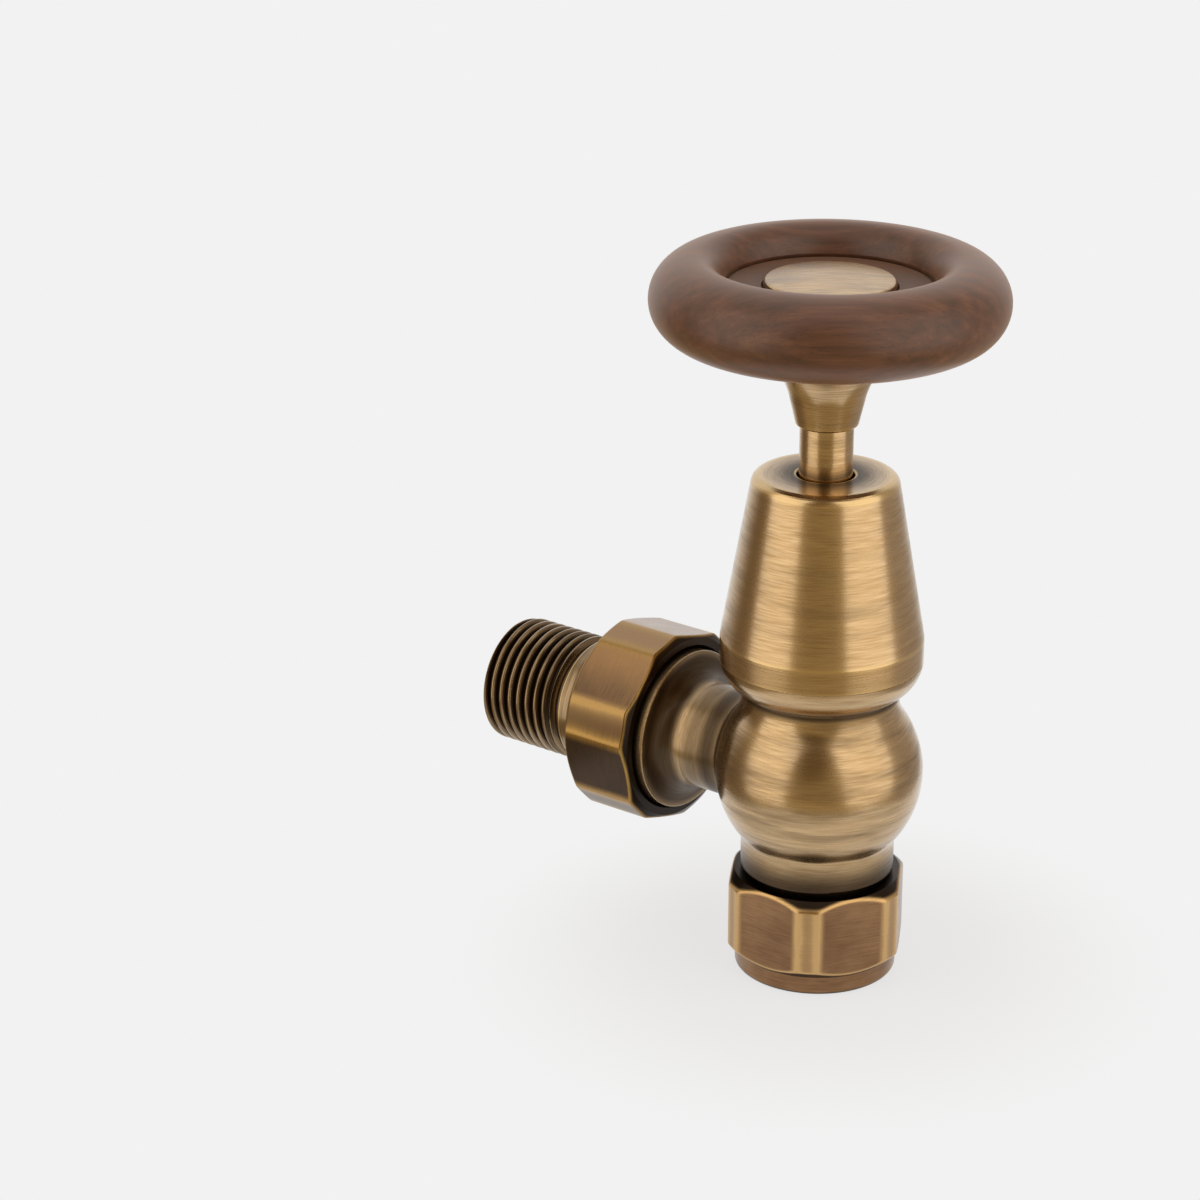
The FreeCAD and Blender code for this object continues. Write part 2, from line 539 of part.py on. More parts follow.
def hand_wheel():
    """Turned wooden wheel: thick oval rim round a dished web with a pocket for the screw and cap."""
    floor_angle = math.asin((floor_z - rim_z) / RIM_HALF_HEIGHT)
    web_angle = math.asin((web_z - rim_z) / RIM_HALF_HEIGHT)
    inner_floor = rim_point(math.pi - floor_angle, RIM_INNER_HALF_WIDTH)
    inner_web = rim_point(math.pi - web_angle, RIM_INNER_HALF_WIDTH)

    def oval(start, end, half_width):
        """The rim's oval from one angle to another, as an edge."""
        angles = [start + (end - start) * i / 8 for i in range(9)]
        curve = Part.BSplineCurve()
        curve.interpolate([Vector(r, 0, z) for r, z in (rim_point(a, half_width) for a in angles)])
        return curve.toShape()

    cap_recess = CAP_RADIUS + SEATED_GAP
    pocket = CAP_SKIRT_RADIUS + FIT_GAP
    corners = [inner_web, (0, web_z), (0, pocket_z), (pocket, pocket_z), (pocket, cap_seat_z),
               (cap_recess, cap_seat_z), (cap_recess, floor_z), inner_floor]
    points = [Vector(r, 0, z) for r, z in corners]
    runs = [Part.LineSegment(a, b).toShape() for a, b in zip(points, points[1:])]
    half_turn = math.pi / 2
    ovals = [
        oval(half_turn, math.pi - floor_angle, RIM_INNER_HALF_WIDTH),
        oval(-half_turn, half_turn, RIM_OUTER_HALF_WIDTH),
        oval(math.pi - web_angle, 3 * half_turn, RIM_INNER_HALF_WIDTH)]
    section = Part.Face(Part.Wire(Part.__sortEdges__(runs + ovals)))
    wheel = section.revolve(Vector(0, 0, 0), Vector(0, 0, 1), 360)
    return wheel.cut(prism(HUB_SQUARE + 2 * FIT_GAP, web_z, pocket_z, sides=4, turn=45.0))


def screw_washer():
    """Plain washer in the wheel's pocket."""
    hole = WHEEL_SCREW_RADIUS + FIT_GAP
    return ring(hole, SCREW_WASHER_RADIUS, pocket_z, pocket_z + SCREW_WASHER_THICKNESS)


def wheel_screw():
    """Cheese-head screw that clamps the wheel and hub to the spindle."""
    head_z = pocket_z + SCREW_WASHER_THICKNESS
    head_top = head_z + WHEEL_SCREW_HEAD_HEIGHT
    head = rod(WHEEL_SCREW_HEAD_RADIUS, head_z, head_top)
    shank = rod(WHEEL_SCREW_RADIUS, pocket_z - WHEEL_SCREW_LENGTH + SEATED_GAP, head_z)
    slot_corner = Vector(-WHEEL_SCREW_HEAD_RADIUS, -WHEEL_SCREW_SLOT / 2, head_top - WHEEL_SCREW_SLOT)
    slot = Part.makeBox(2 * WHEEL_SCREW_HEAD_RADIUS, WHEEL_SCREW_SLOT, WHEEL_SCREW_SLOT, slot_corner)
    return head.fuse(shank).removeSplitter().cut(slot)


def wheel_cap():
    """Crowned cover disc whose skirt pushes into the wheel's pocket."""
    top = cap_seat_z + CAP_HEIGHT
    inside = CAP_SKIRT_RADIUS - CAP_SKIRT_WALL
    under = cap_seat_z + EDGE
    skirt_z = pocket_z + SCREW_WASHER_THICKNESS + RUNNING_GAP
    return turned([
        (0, under), (inside, under), (inside, skirt_z), (CAP_SKIRT_RADIUS, skirt_z),
        (CAP_SKIRT_RADIUS, cap_seat_z), (CAP_RADIUS, cap_seat_z), (CAP_RADIUS, top - CAP_CROWN, CAP_ROUND),
        (CAP_RADIUS / 2, top - CAP_CROWN / 4), (0, top)])


PIECES = [
    compression_nut, olive, valve_body, union_washer, union_nut, tailpiece, bonnet_washer, bonnet,
    stem_packing, gland_follower, gland_nut, shroud, disc_holder, seat_washer, washer_screw, spindle,
    disc_clip, wheel_hub, hand_wheel, screw_washer, wheel_screw, wheel_cap]

os.makedirs("parts", exist_ok=True)
for piece in PIECES:
    shape = piece()
    shape.exportStep(f"parts/{piece.__name__}.step")
    count = len(shape.Solids)
    print(f"{piece.__name__:16s} solids {count}  valid {shape.isValid()}  {shape.Volume:9.1f} mm3")
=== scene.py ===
# %% [markdown]
# # A manual radiator valve with a walnut hand wheel
# The valve joins a pipe that comes up from the floor to a radiator on its left, and the wooden wheel opens
# it. Its solids come from CAD at their exact size. This notebook dresses them: the pieces that need worn
# edges, a real screw thread or turned wood are worked out again as surfaces, and the others get a finish.

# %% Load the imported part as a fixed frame
import math

import bmesh
import bpy
import numpy as np
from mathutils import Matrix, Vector


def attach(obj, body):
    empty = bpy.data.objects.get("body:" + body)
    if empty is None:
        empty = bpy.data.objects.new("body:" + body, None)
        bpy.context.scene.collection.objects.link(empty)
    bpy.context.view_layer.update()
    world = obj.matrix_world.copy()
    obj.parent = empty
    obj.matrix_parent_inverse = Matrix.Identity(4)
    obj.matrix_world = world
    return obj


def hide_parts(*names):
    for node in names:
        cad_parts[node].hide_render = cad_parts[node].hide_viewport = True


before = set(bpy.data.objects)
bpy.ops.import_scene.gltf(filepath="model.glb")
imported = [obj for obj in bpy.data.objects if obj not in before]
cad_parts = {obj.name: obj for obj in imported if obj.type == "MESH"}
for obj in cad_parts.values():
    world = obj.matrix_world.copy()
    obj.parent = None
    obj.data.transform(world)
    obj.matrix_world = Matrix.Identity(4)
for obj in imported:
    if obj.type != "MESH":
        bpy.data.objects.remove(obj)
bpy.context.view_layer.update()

MM = 0.001

# %% [markdown]
# ## Profiles with broken edges
# Nearly every piece of a valve is turned on a lathe, so it starts as a profile: a line of radius against
# height. Sharp corners look like computer graphics, because a real edge is always broken and catches a thin
# line of light. Bevel modifiers could break them afterwards. Here the arcs are worked out in the profile,
# which also tells the material which rows are proud edges, that wear bright, and which are hollows, that
# keep their dark patina on brass and get painted shade on wood.

# %% Turn corners into a rounded profile
ARC_STEPS = 7
WEAR_FADE = 0.25


def rounded(corners, closed=True, spacing=1.0, support=0.07):
    """Rows of (radius, height, wear) in mm from corners of (radius, height, rounding).

    Each corner gives way to the arc that touches both its runs: its centre lies on the bisector, rounding
    divided by the sine of half the angle away. Wear is 1 on arcs that stand proud, -1 on hollow ones and 0
    on the runs. It fades within a quarter of a millimetre. The runs are cut every spacing, and close to
    each arc, so that flat stretches shade flat.
    """
    corners = np.array([tuple(c) + (0.0,) * (3 - len(c)) for c in corners], float)
    place, rounding = corners[:, :2], corners[:, 2]
    back = np.roll(place, 1, 0) - place
    ahead = np.roll(place, -1, 0) - place
    back /= np.linalg.norm(back, axis=1, keepdims=True)
    ahead /= np.linalg.norm(ahead, axis=1, keepdims=True)
    half = np.arccos(np.clip((back * ahead).sum(1), -1, 1)) / 2
    bisector = back + ahead
    bisector /= np.maximum(np.linalg.norm(bisector, axis=1, keepdims=True), 1e-9)
    centre = place + bisector * (rounding / np.maximum(np.sin(half), 1e-6))[:, None]
    along = (rounding / np.tan(np.maximum(half, 1e-6)))[:, None]
    first, last = place + back * along - centre, place + ahead * along - centre
    sweep = np.maximum(math.pi - 2 * half, 1e-4)[:, None, None]
    u = np.linspace(0, 1, ARC_STEPS)[None, :, None]
    arcs = (np.sin((1 - u) * sweep) * first[:, None] + np.sin(u * sweep) * last[:, None]) / np.sin(sweep)
    points = (centre[:, None] + arcs).reshape(-1, 2)
    ahead_place = np.roll(place, -1, 0)
    area = (place[:, 0] * ahead_place[:, 1] - ahead_place[:, 0] * place[:, 1]).sum()
    proud = np.sign((ahead[:, 0] * back[:, 1] - ahead[:, 1] * back[:, 0]) * area) * (rounding > 0)
    if closed:
        points = np.vstack([points, points[:1]])
    step = np.append(0, np.linalg.norm(np.diff(points, axis=0), axis=1))
    length = np.cumsum(step)
    arc_rows = len(corners) * ARC_STEPS
    starts, ends = length[:arc_rows:ARC_STEPS], length[ARC_STEPS - 1:arc_rows:ARC_STEPS]
    keep = np.append(True, step[1:] > 1e-6)
    points, length = points[keep], length[keep]
    cuts = np.concatenate([length, length + support, length - support, np.arange(0, length[-1], spacing)])
    cuts = np.unique(np.round(np.clip(cuts, 0, length[-1]), 3))
    if closed:
        cuts = cuts[:-1]
    off_arc = np.maximum(np.maximum(starts - cuts[:, None], cuts[:, None] - ends), 0)
    wear = (proud * np.clip(1 - off_arc / WEAR_FADE, 0, 1)).sum(1).clip(-1, 1)
    radius, height = (np.interp(cuts, length, points[:, k]) for k in (0, 1))
    return np.column_stack([radius, height, wear])


sample = rounded([(4, 0, 0.5), (8, 0, 0.5), (8, 3, 0.5), (4, 3, 0.5)])
print("a plain ring's profile has", len(sample), "rows")
print("its wear runs from", sample[:, 2].min(), "to", sample[:, 2].max())

# %% [markdown]
# ## From a grid of points to a closed skin
# A turned piece is a grid: its profile's rows by columns of angle. The grid wraps round, so its last column
# joins its first with no seam. Spinning a curve in Blender would do the same, but a numpy grid also takes
# shapes whose radius changes with the angle, such as a hexagon bar or a screw thread.

# %% Revolve, lay along the tail, and skin
BALL_Z = 34.0


def spun(rows, columns=256):
    """A grid about the Z axis: each row's point (radius, height) at equal steps of angle."""
    angle = np.linspace(0, 2 * math.pi, columns, endpoint=False)
    radius, height = rows[:, :1], rows[:, 1:2]
    return np.stack([radius * np.cos(angle), radius * np.sin(angle), height + 0 * angle], -1)


def laid_along_tail(grid):
    """The grid turned a quarter about Y and lifted to the ball, so that its height runs out along -X."""
    return np.stack([-grid[..., 2], grid[..., 1], grid[..., 0] + BALL_Z], -1)


def skinned(node, body, grid, wear, material, loop=True):
    """One piece that stands for a CAD node: the grid's neighbours joined as quads that face outwards.

    A loop joins its last row to its first. Otherwise the end rows lie on the axis, and merging makes them
    poles. The skin's signed volume, a third of each triangle's corner times its area vector, says which way
    it faces.
    """
    rows, columns = grid.shape[:2]
    index = np.arange(rows * columns).reshape(rows, columns)
    ring = np.vstack([index, index[:1]]) if loop else index
    across = np.roll(ring, -1, 1)
    quads = np.stack([ring[:-1], across[:-1], across[1:], ring[1:]], -1).reshape(-1, 4)
    points = grid.reshape(-1, 3) * MM
    a, b, c, d = (points[quads[:, k]] for k in range(4))
    volume = (a * (np.cross(b, c) + np.cross(c, d))).sum() / 6
    if volume < 0:
        quads = quads[:, ::-1]
    mesh = bpy.data.meshes.new(node + "_skin")
    mesh.from_pydata(points.tolist(), [], quads.tolist())
    share = mesh.attributes.new("wear", "FLOAT", "POINT")
    share.data.foreach_set("value", np.broadcast_to(wear, (rows, columns)).astype(np.float32).ravel())
    if not loop:
        merge_poles(mesh)
    mesh.polygons.foreach_set("use_smooth", np.ones(len(mesh.polygons), bool))
    mesh.materials.append(material)
    piece = bpy.data.objects.new(node + "_dressed", mesh)
    bpy.context.scene.collection.objects.link(piece)
    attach(piece, body)
    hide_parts(node)
    print(f"{piece.name}: {len(mesh.vertices)} points, {abs(volume) * 1e6:.2f} ml")
    return piece


def merge_poles(mesh):
    """Merges the points that lie on one another at a pole, which turns the quads there into triangles."""
    work = bmesh.new()
    work.from_mesh(mesh)
    bmesh.ops.remove_doubles(work, verts=work.verts, dist=1e-7)
    work.to_mesh(mesh)
    work.free()


print("pieces along the tail turn about the line z =", BALL_Z, "mm")

# %% [markdown]
# ## Small tools for materials
# Colours are written as a designer writes them, in sRGB hex, and turned to the linear values that light
# needs. One function adds any node, so that a material reads as a list of what feeds what.

# %% Colour and node helpers


def linear(text):
    """sRGB hex to linear RGBA: below 0.04045 a division by 12.92, above it a power of 2.4."""
    part = np.array([int(text[i:i + 2], 16) for i in (1, 3, 5)]) / 255
    part = np.where(part <= 0.04045, part / 12.92, ((part + 0.055) / 1.055) ** 2.4)
    return (*part.tolist(), 1.0)


def add(tree, kind, inputs=None, **settings):
    """Adds one shader node with its settings; an input is a value, or an output that is linked to it."""
    node = tree.nodes.new("ShaderNode" + kind)
    for name, value in settings.items():
        setattr(node, name, value)
    for socket, value in (inputs or {}).items():
        if isinstance(value, bpy.types.NodeSocket):
            tree.links.new(value, node.inputs[socket])
        else:
            node.inputs[socket].default_value = value
    return node


def started(name):
    """A new material, its node tree, its shader and the Object coordinates."""
    material = bpy.data.materials.new(name)
    material.use_nodes = True
    tree = material.node_tree
    return material, tree, tree.nodes["Principled BSDF"], add(tree, "TexCoord").outputs["Object"]


def kinds_of_ray(tree):
    """Whether a ray comes straight from the camera, and whether it was mirrored or let through."""
    paths = add(tree, "LightPath").outputs
    mirrored = add(tree, "Math", {0: paths["Is Glossy Ray"], 1: paths["Is Transmission Ray"]},
                   operation="MAXIMUM").outputs[0]
    return paths["Is Camera Ray"], mirrored


# A colour Mix node's sockets by number: its factor, its two colours and its result
FACTOR, FIRST, SECOND, RESULT = 0, 6, 7, 2
print("brass in linear light:", [round(x, 3) for x in linear("#CEA265")[:3]])

# %% [markdown]
# ## Antique brass
# The metal is brass that was darkened in a bath, brushed back on the lathe with a fine abrasive, and
# lacquered. The eye gets three things from it: fine lines round each piece that smear the light along its
# axis, a brown patina left in hollows, with painted shade added round some of them, and bare gold where an
# edge was rubbed. The lines follow the lathe, so the pattern is read in cylinder coordinates: direction
# round the axis changes slowly, height and radius change fast.

# %% Antique brass, brushed on the lathe
# Real abrasive lines are about 0.03 mm wide. Drawn at 0.22 mm they still read as lines in this picture.
LINE_WIDTH = 0.22
LINE_LENGTH = 5.0
SMUDGE_WIDTH, SMUDGE_LENGTH = 2.2, 14.0
LINE_DEPTH = 0.02
BRANCH_RADIUS, BRANCH_FROM, BRANCH_TO = 14.0, 14.5, 15.0
# The darkest brown serves both patina and the painted shade in the listed hollows
BRASS, BRASS_DEEP, BARE_BRASS, PATINA_AND_SHADE = "#CDAE83", "#B3905F", "#D9B882", "#2E2118"
# The tail's brass is darker than the body's: painted shade on the tail and its thread
SHADED_THREAD_BRASS, SHADED_THREAD_DEEP = "#A08560", "#6E5638"
SMOOTH, LINED, PATINA_ROUGHER = 0.19, 0.30, 0.2
LACQUER, PATINA_LACQUER, LACQUER_ROUGHNESS = 0.75, 0.1, 0.16


def off_axis(tree, place):
    """What a place has across the Z axis, and its length: how far the place is from that axis."""
    across = add(tree, "VectorMath", {0: place, 1: (1, 1, 0)}, operation="MULTIPLY").outputs[0]
    return across, add(tree, "VectorMath", {0: across}, operation="LENGTH").outputs["Value"]


def cylinder_lines(tree, place, line_width, line_length, radius, use_radius=True):
    """Noise drawn out round the Z axis: direction times radius over line length, height over line width.

    The distance from the axis is the fourth coordinate, so that end faces get rings too.
    """
    across, reach = off_axis(tree, place)
    way = add(tree, "VectorMath", {0: across}, operation="NORMALIZE").outputs[0]
    round_about = radius / line_length
    fine = 1 / (line_width * MM)
    tall = add(tree, "VectorMath", {0: place, 1: (0, 0, fine)}, operation="MULTIPLY").outputs[0]
    drawn = add(tree, "VectorMath", {0: way, 1: (round_about,) * 3, 2: tall},
                operation="MULTIPLY_ADD").outputs[0]
    depth = add(tree, "Math", {0: reach, 1: fine if use_radius else 0.0}, operation="MULTIPLY").outputs[0]
    return add(tree, "TexNoise", {"Vector": drawn, "W": depth, "Scale": 1.0, "Detail": 3.0,
                                  "Roughness": 0.62}, noise_dimensions="4D").outputs["Fac"]


def about_tail(tree, place):
    """Coordinates turned so that Z runs out along the tail from the middle of the ball."""
    return add(tree, "Mapping", {"Vector": place, "Location": (-BALL_Z * MM, 0, 0),
                                 "Rotation": (0, math.pi / 2, 0)}).outputs[0]


def antique_brass(name, light=BRASS, deep=BRASS_DEEP, along_tail=False, radius=14.0, patina=0.25,
                  hollows=(), branch=False):
    """Antique brass with lines about Z, or about the tail.

    A hollow is (about the tail, radius, height, near, far) in mm: a circle with patina and painted shade,
    full within near of it and gone at far. A piece with a branch is the body, whose lines turn about the
    tail beyond the ball. Patina and painted shade are dull, so they make the metal rougher and take away
    lacquer.
    """
    material, tree, shader, place = started(name)
    tail_place = about_tail(tree, place)
    if along_tail:
        place = tail_place
    lines = cylinder_lines(tree, place, LINE_WIDTH, LINE_LENGTH, radius)
    if branch:
        side_lines = cylinder_lines(tree, tail_place, LINE_WIDTH, LINE_LENGTH, BRANCH_RADIUS)
        _, reach = off_axis(tree, tail_place)
        along = add(tree, "SeparateXYZ", {0: tail_place}).outputs["Z"]
        inside = add(tree, "Math", {0: reach, 1: BRANCH_RADIUS * MM}, operation="LESS_THAN").outputs[0]
        beyond = add(tree, "MapRange", {0: along, 1: BRANCH_FROM * MM, 2: BRANCH_TO * MM}).outputs[0]
        turned = add(tree, "Math", {0: inside, 1: beyond}, operation="MULTIPLY").outputs[0]
        lines = add(tree, "Mix", {0: turned, 2: lines, 3: side_lines}).outputs[0]
    blotch = cylinder_lines(tree, place, SMUDGE_WIDTH, SMUDGE_LENGTH, radius)
    share = add(tree, "MapRange", {0: lines, 1: 0.36, 2: 0.68}).outputs[0]
    colour = add(tree, "Mix", {FACTOR: share, FIRST: linear(light), SECOND: linear(deep)}, data_type="RGBA")
    stain = add(tree, "MapRange", {0: blotch, 1: 0.44, 2: 0.74, 3: 0.0, 4: patina}).outputs[0]
    wear = add(tree, "Attribute", attribute_name="wear").outputs["Fac"]
    kept = add(tree, "MapRange", {0: wear, 1: -0.1, 2: -0.8, 3: 0.0, 4: 0.97}).outputs[0]
    dark = add(tree, "Math", {0: stain, 1: kept}, operation="MAXIMUM").outputs[0]
    # Each ring darkens the brass with patina and painted shade
    for on_tail, ring_radius, ring_height, near, far in hollows:
        about = tail_place if on_tail else place
        _, reach = off_axis(tree, about)
        height = add(tree, "SeparateXYZ", {0: about}).outputs["Z"]
        section = add(tree, "CombineXYZ", {0: reach, 1: height}).outputs[0]
        gap = add(tree, "VectorMath", {0: section, 1: (ring_radius * MM, ring_height * MM, 0)},
                  operation="DISTANCE").outputs["Value"]
        hollow_patina_and_shade = add(tree, "MapRange", {0: gap, 1: near * MM, 2: far * MM, 3: 0.9, 4: 0.0},
                     interpolation_type="SMOOTHSTEP").outputs[0]
        dark = add(tree, "Math", {0: dark, 1: hollow_patina_and_shade}, operation="MAXIMUM").outputs[0]
    colour = add(tree, "Mix", {FACTOR: dark, FIRST: colour.outputs[RESULT], SECOND: linear(PATINA_AND_SHADE)},
                 data_type="RGBA")
    rubbed = add(tree, "MapRange", {0: wear, 1: 0.25, 2: 0.9, 3: 0.0, 4: 0.85}).outputs[0]
    colour = add(tree, "Mix", {FACTOR: rubbed, FIRST: colour.outputs[RESULT], SECOND: linear(BARE_BRASS)},
                 data_type="RGBA")
    rough = add(tree, "MapRange", {0: lines, 1: 0.3, 2: 0.7, 3: SMOOTH, 4: LINED}).outputs[0]
    rough = add(tree, "Math", {0: dark, 1: PATINA_ROUGHER, 2: rough}, operation="MULTIPLY_ADD").outputs[0]
    lacquer = add(tree, "MapRange", {0: dark, 1: 0.0, 2: 1.0, 3: LACQUER, 4: PATINA_LACQUER}).outputs[0]
    bump = add(tree, "Bump", {"Height": lines, "Strength": 0.28, "Distance": LINE_DEPTH * MM}).outputs[0]
    tree.links.new(colour.outputs[RESULT], shader.inputs["Base Color"])
    tree.links.new(rough, shader.inputs["Roughness"])
    tree.links.new(bump, shader.inputs["Normal"])
    shader.inputs["Metallic"].default_value = 1.0
    tree.links.new(lacquer, shader.inputs["Coat Weight"])
    shader.inputs["Coat Roughness"].default_value = LACQUER_ROUGHNESS
    return material


# Patina and painted shade round the head neck, the inlet band, and along the side neck up to the union
# thread
BODY_PATINA_AND_SHADE = [(False, 12.7, 47.7, 0.1, 1.2), (False, 12.2, 17.4, 1.0, 6.5), (True, 11.2, 23.6, 2.0, 3.6),
                (True, 9.0, 16.2, 0.3, 5.0), (True, 7.0, 19.0, 0.0, 5.0), (True, 13.4, 27.2, 0.3, 1.0)]
# And painted shade with patina on the shroud's roof, round the stem
SHROUD_PATINA_AND_SHADE = [(False, 4.6, 83.8, 0.4, 6.0)]
body_brass = antique_brass("antique_brass_brushed_body", patina=0.5, hollows=BODY_PATINA_AND_SHADE, branch=True)
shroud_brass = antique_brass("antique_brass_brushed_shroud", patina=0.3, hollows=SHROUD_PATINA_AND_SHADE)
stem_brass = antique_brass("antique_brass_brushed_stem", radius=5.0)
# The tail takes the darker brass, with painted shade on its thread
tail_brass = antique_brass("antique_brass_cut_thread", SHADED_THREAD_BRASS, SHADED_THREAD_DEEP, True, 10.0, 0.6)
print("brass finishes:", [m.name for m in (body_brass, shroud_brass, stem_brass, tail_brass)])

# %% [markdown]
# ## The shroud
# A tapered cover hides the working head of the valve. It was turned from bar and bored hollow. The taper
# starts above a short straight band, and the roof has a soft shoulder and a hole for the stem. The profile
# is a closed loop: up the outside, over the roof, and down the inside.

# %% Shroud
SHROUD_FOOT, BORE_TOP, BAND_TOP, SHROUD_CEILING, SHROUD_TOP = 53.1, 56.5, 57.1, 81.8, 83.8
SHROUD_RADIUS, SHROUD_BORE, ROOF_RADIUS, CEILING_RADIUS, STEM_HOLE = 16.1, 14.05, 11.4, 10.15, 4.55
shroud_rows = rounded([
    (SHROUD_BORE, SHROUD_FOOT, 0.1), (SHROUD_RADIUS, SHROUD_FOOT, 0.1), (SHROUD_RADIUS, BAND_TOP, 1.2),
    (ROOF_RADIUS, SHROUD_TOP, 1.6), (STEM_HOLE, SHROUD_TOP, 0.25), (STEM_HOLE, SHROUD_CEILING, 0.1),
    (CEILING_RADIUS, SHROUD_CEILING, 0.4), (SHROUD_BORE, BORE_TOP, 0.2)])
skinned("shroud", "valve", spun(shroud_rows), shroud_rows[:, 2:], shroud_brass)

# %% [markdown]
# ## The hub under the wheel
# The hub is a small trumpet: a rounded foot on the stem, a cone, and a flare that carries the wooden wheel.
# The flare is a hollow curve, so its part of the profile is sampled from a power curve instead of straight
# runs.

# %% Hub
HUB_FOOT, FLARE_FOOT, FLARE_TOP, HUB_TOP, SPIGOT_TOP = 91.9, 96.1, 105.0, 106.1, 109.1
HUB_BORE, HUB_FOOT_RADIUS, SPIGOT_RADIUS, FLARE_EDGE = 4.25, 4.85, 6.3, 11.0
CONE_RADIUS, CONE_WIDENS, FLARE_WIDENS, FLARE_POWER = 5.85, 1.6, 3.55, 1.8
rise = np.linspace(0, 1, 22)
flare = np.column_stack([CONE_RADIUS + CONE_WIDENS * rise + FLARE_WIDENS * rise ** FLARE_POWER,
                         FLARE_FOOT + (FLARE_TOP - FLARE_FOOT) * rise])
hub_rows = rounded([
    (HUB_BORE, HUB_FOOT, 0.1), (HUB_FOOT_RADIUS, HUB_FOOT, 0.45), *flare[:-1],
    (FLARE_EDGE, FLARE_TOP, 0.25), (FLARE_EDGE, HUB_TOP, 0.2), (SPIGOT_RADIUS, HUB_TOP, 0.1),
    (SPIGOT_RADIUS, SPIGOT_TOP, 0.2), (HUB_BORE, SPIGOT_TOP, 0.2)])
skinned("wheel_hub", "wheel", spun(hub_rows, 192), hub_rows[:, 2:], stem_brass)

# %% [markdown]
# ## Walnut, turned and lacquered
# The wheel is one blank of walnut with its grain lying flat. Walnut is brown with darker and lighter bands
# along the grain and short dark pores. A satin lacquer fills most pores and gives a pale sheen where light
# glances off. Noise stretched along the grain makes both; the stretch is the length of a band or pore over
# its width.

# %% Walnut
GRAIN_HEADING = math.radians(38)
BAND_LENGTH, BAND_WIDTH = 34.0, 1.7
PORE_LENGTH, PORE_WIDTH = 4.5, 0.26
WALNUT_DARK, WALNUT_MIDDLE, WALNUT_LIGHT, WALNUT_PORE = "#482A19", "#5C3723", "#734931", "#2F1B11"
# Painted shade for the quirk and the dished floor, and the tint of the lacquer's sheen
WALNUT_PAINTED_SHADE, WALNUT_SHEEN = "#22150F", "#D9A884"
SATIN, SHADE_SATIN, SATIN_ROUGHNESS = 0.7, 0.1, 0.36
PORE_DEPTH = 0.03


def lacquered_walnut(name):
    """Walnut with its grain along x of turned Object coordinates, darker and less lacquered in hollows."""
    material, tree, shader, place = started(name)
    grain = add(tree, "Mapping", {"Vector": place, "Rotation": (0, 0, -GRAIN_HEADING)}).outputs[0]
    stretched = []
    for length, width in ((BAND_LENGTH, BAND_WIDTH), (PORE_LENGTH, PORE_WIDTH)):
        scale = (1 / (length * MM), 1 / (width * MM), 1 / (width * MM))
        stretched.append(add(tree, "VectorMath", {0: grain, 1: scale}, operation="MULTIPLY").outputs[0])
    bands = add(tree, "TexNoise", {"Vector": stretched[0], "Scale": 1.0, "Detail": 6.0, "Roughness": 0.6,
                                   "Distortion": 0.2}).outputs["Fac"]
    pores = add(tree, "TexNoise", {"Vector": stretched[1], "Scale": 1.0, "Detail": 2.0}).outputs["Fac"]
    ramp = add(tree, "ValToRGB", {"Fac": bands})
    ramp.color_ramp.elements[0].position = 0.32
    ramp.color_ramp.elements[0].color = linear(WALNUT_DARK)
    ramp.color_ramp.elements[1].position = 0.71
    ramp.color_ramp.elements[1].color = linear(WALNUT_LIGHT)
    ramp.color_ramp.elements.new(0.5).color = linear(WALNUT_MIDDLE)
    pore = add(tree, "MapRange", {0: pores, 1: 0.58, 2: 0.74, 3: 0.0, 4: 0.6}).outputs[0]
    colour = add(tree, "Mix", {FACTOR: pore, FIRST: ramp.outputs[0], SECOND: linear(WALNUT_PORE)},
                 data_type="RGBA")
    wear = add(tree, "Attribute", attribute_name="wear").outputs["Fac"]
    # Hollows, the quirk and the dished floor, get painted shade and less lacquer
    painted_shade = add(tree, "MapRange", {0: wear, 1: -0.2, 2: -1.0, 3: 0.0, 4: 0.8}).outputs[0]
    colour = add(tree, "Mix", {FACTOR: painted_shade, FIRST: colour.outputs[RESULT], SECOND: linear(WALNUT_PAINTED_SHADE)},
                 data_type="RGBA")
    rough = add(tree, "MapRange", {0: bands, 1: 0.3, 2: 0.7, 3: 0.42, 4: 0.54}).outputs[0]
    bump = add(tree, "Bump", {"Height": pores, "Strength": 0.12, "Distance": PORE_DEPTH * MM},
               invert=True).outputs[0]
    tree.links.new(colour.outputs[RESULT], shader.inputs["Base Color"])
    tree.links.new(rough, shader.inputs["Roughness"])
    tree.links.new(bump, shader.inputs["Normal"])
    shader.inputs["IOR"].default_value = 1.5
    shader.inputs["Specular IOR Level"].default_value = 0.25
    coat = add(tree, "MapRange", {0: painted_shade, 1: 0.0, 2: 0.8, 3: SATIN, 4: SHADE_SATIN}).outputs[0]
    tree.links.new(coat, shader.inputs["Coat Weight"])
    shader.inputs["Coat Roughness"].default_value = SATIN_ROUGHNESS
    shader.inputs["Sheen Weight"].default_value = 0.4
    shader.inputs["Sheen Tint"].default_value = linear(WALNUT_SHEEN)
    return material


walnut = lacquered_walnut("walnut_turned_satin_lacquer")
print("walnut bands are", BAND_WIDTH, "mm wide and pores", PORE_WIDTH, "mm")

# %% [markdown]
# ## The hand wheel
# The rim is a thick oval ring, wider outside its crown than inside, round a dished floor. A thin quirk, the
# groove a turner leaves where a round meets a flat, gives the dark line at the foot of the rim, with painted
# shade in it. The floor is marked as a hollow too, so that it gets painted shade.

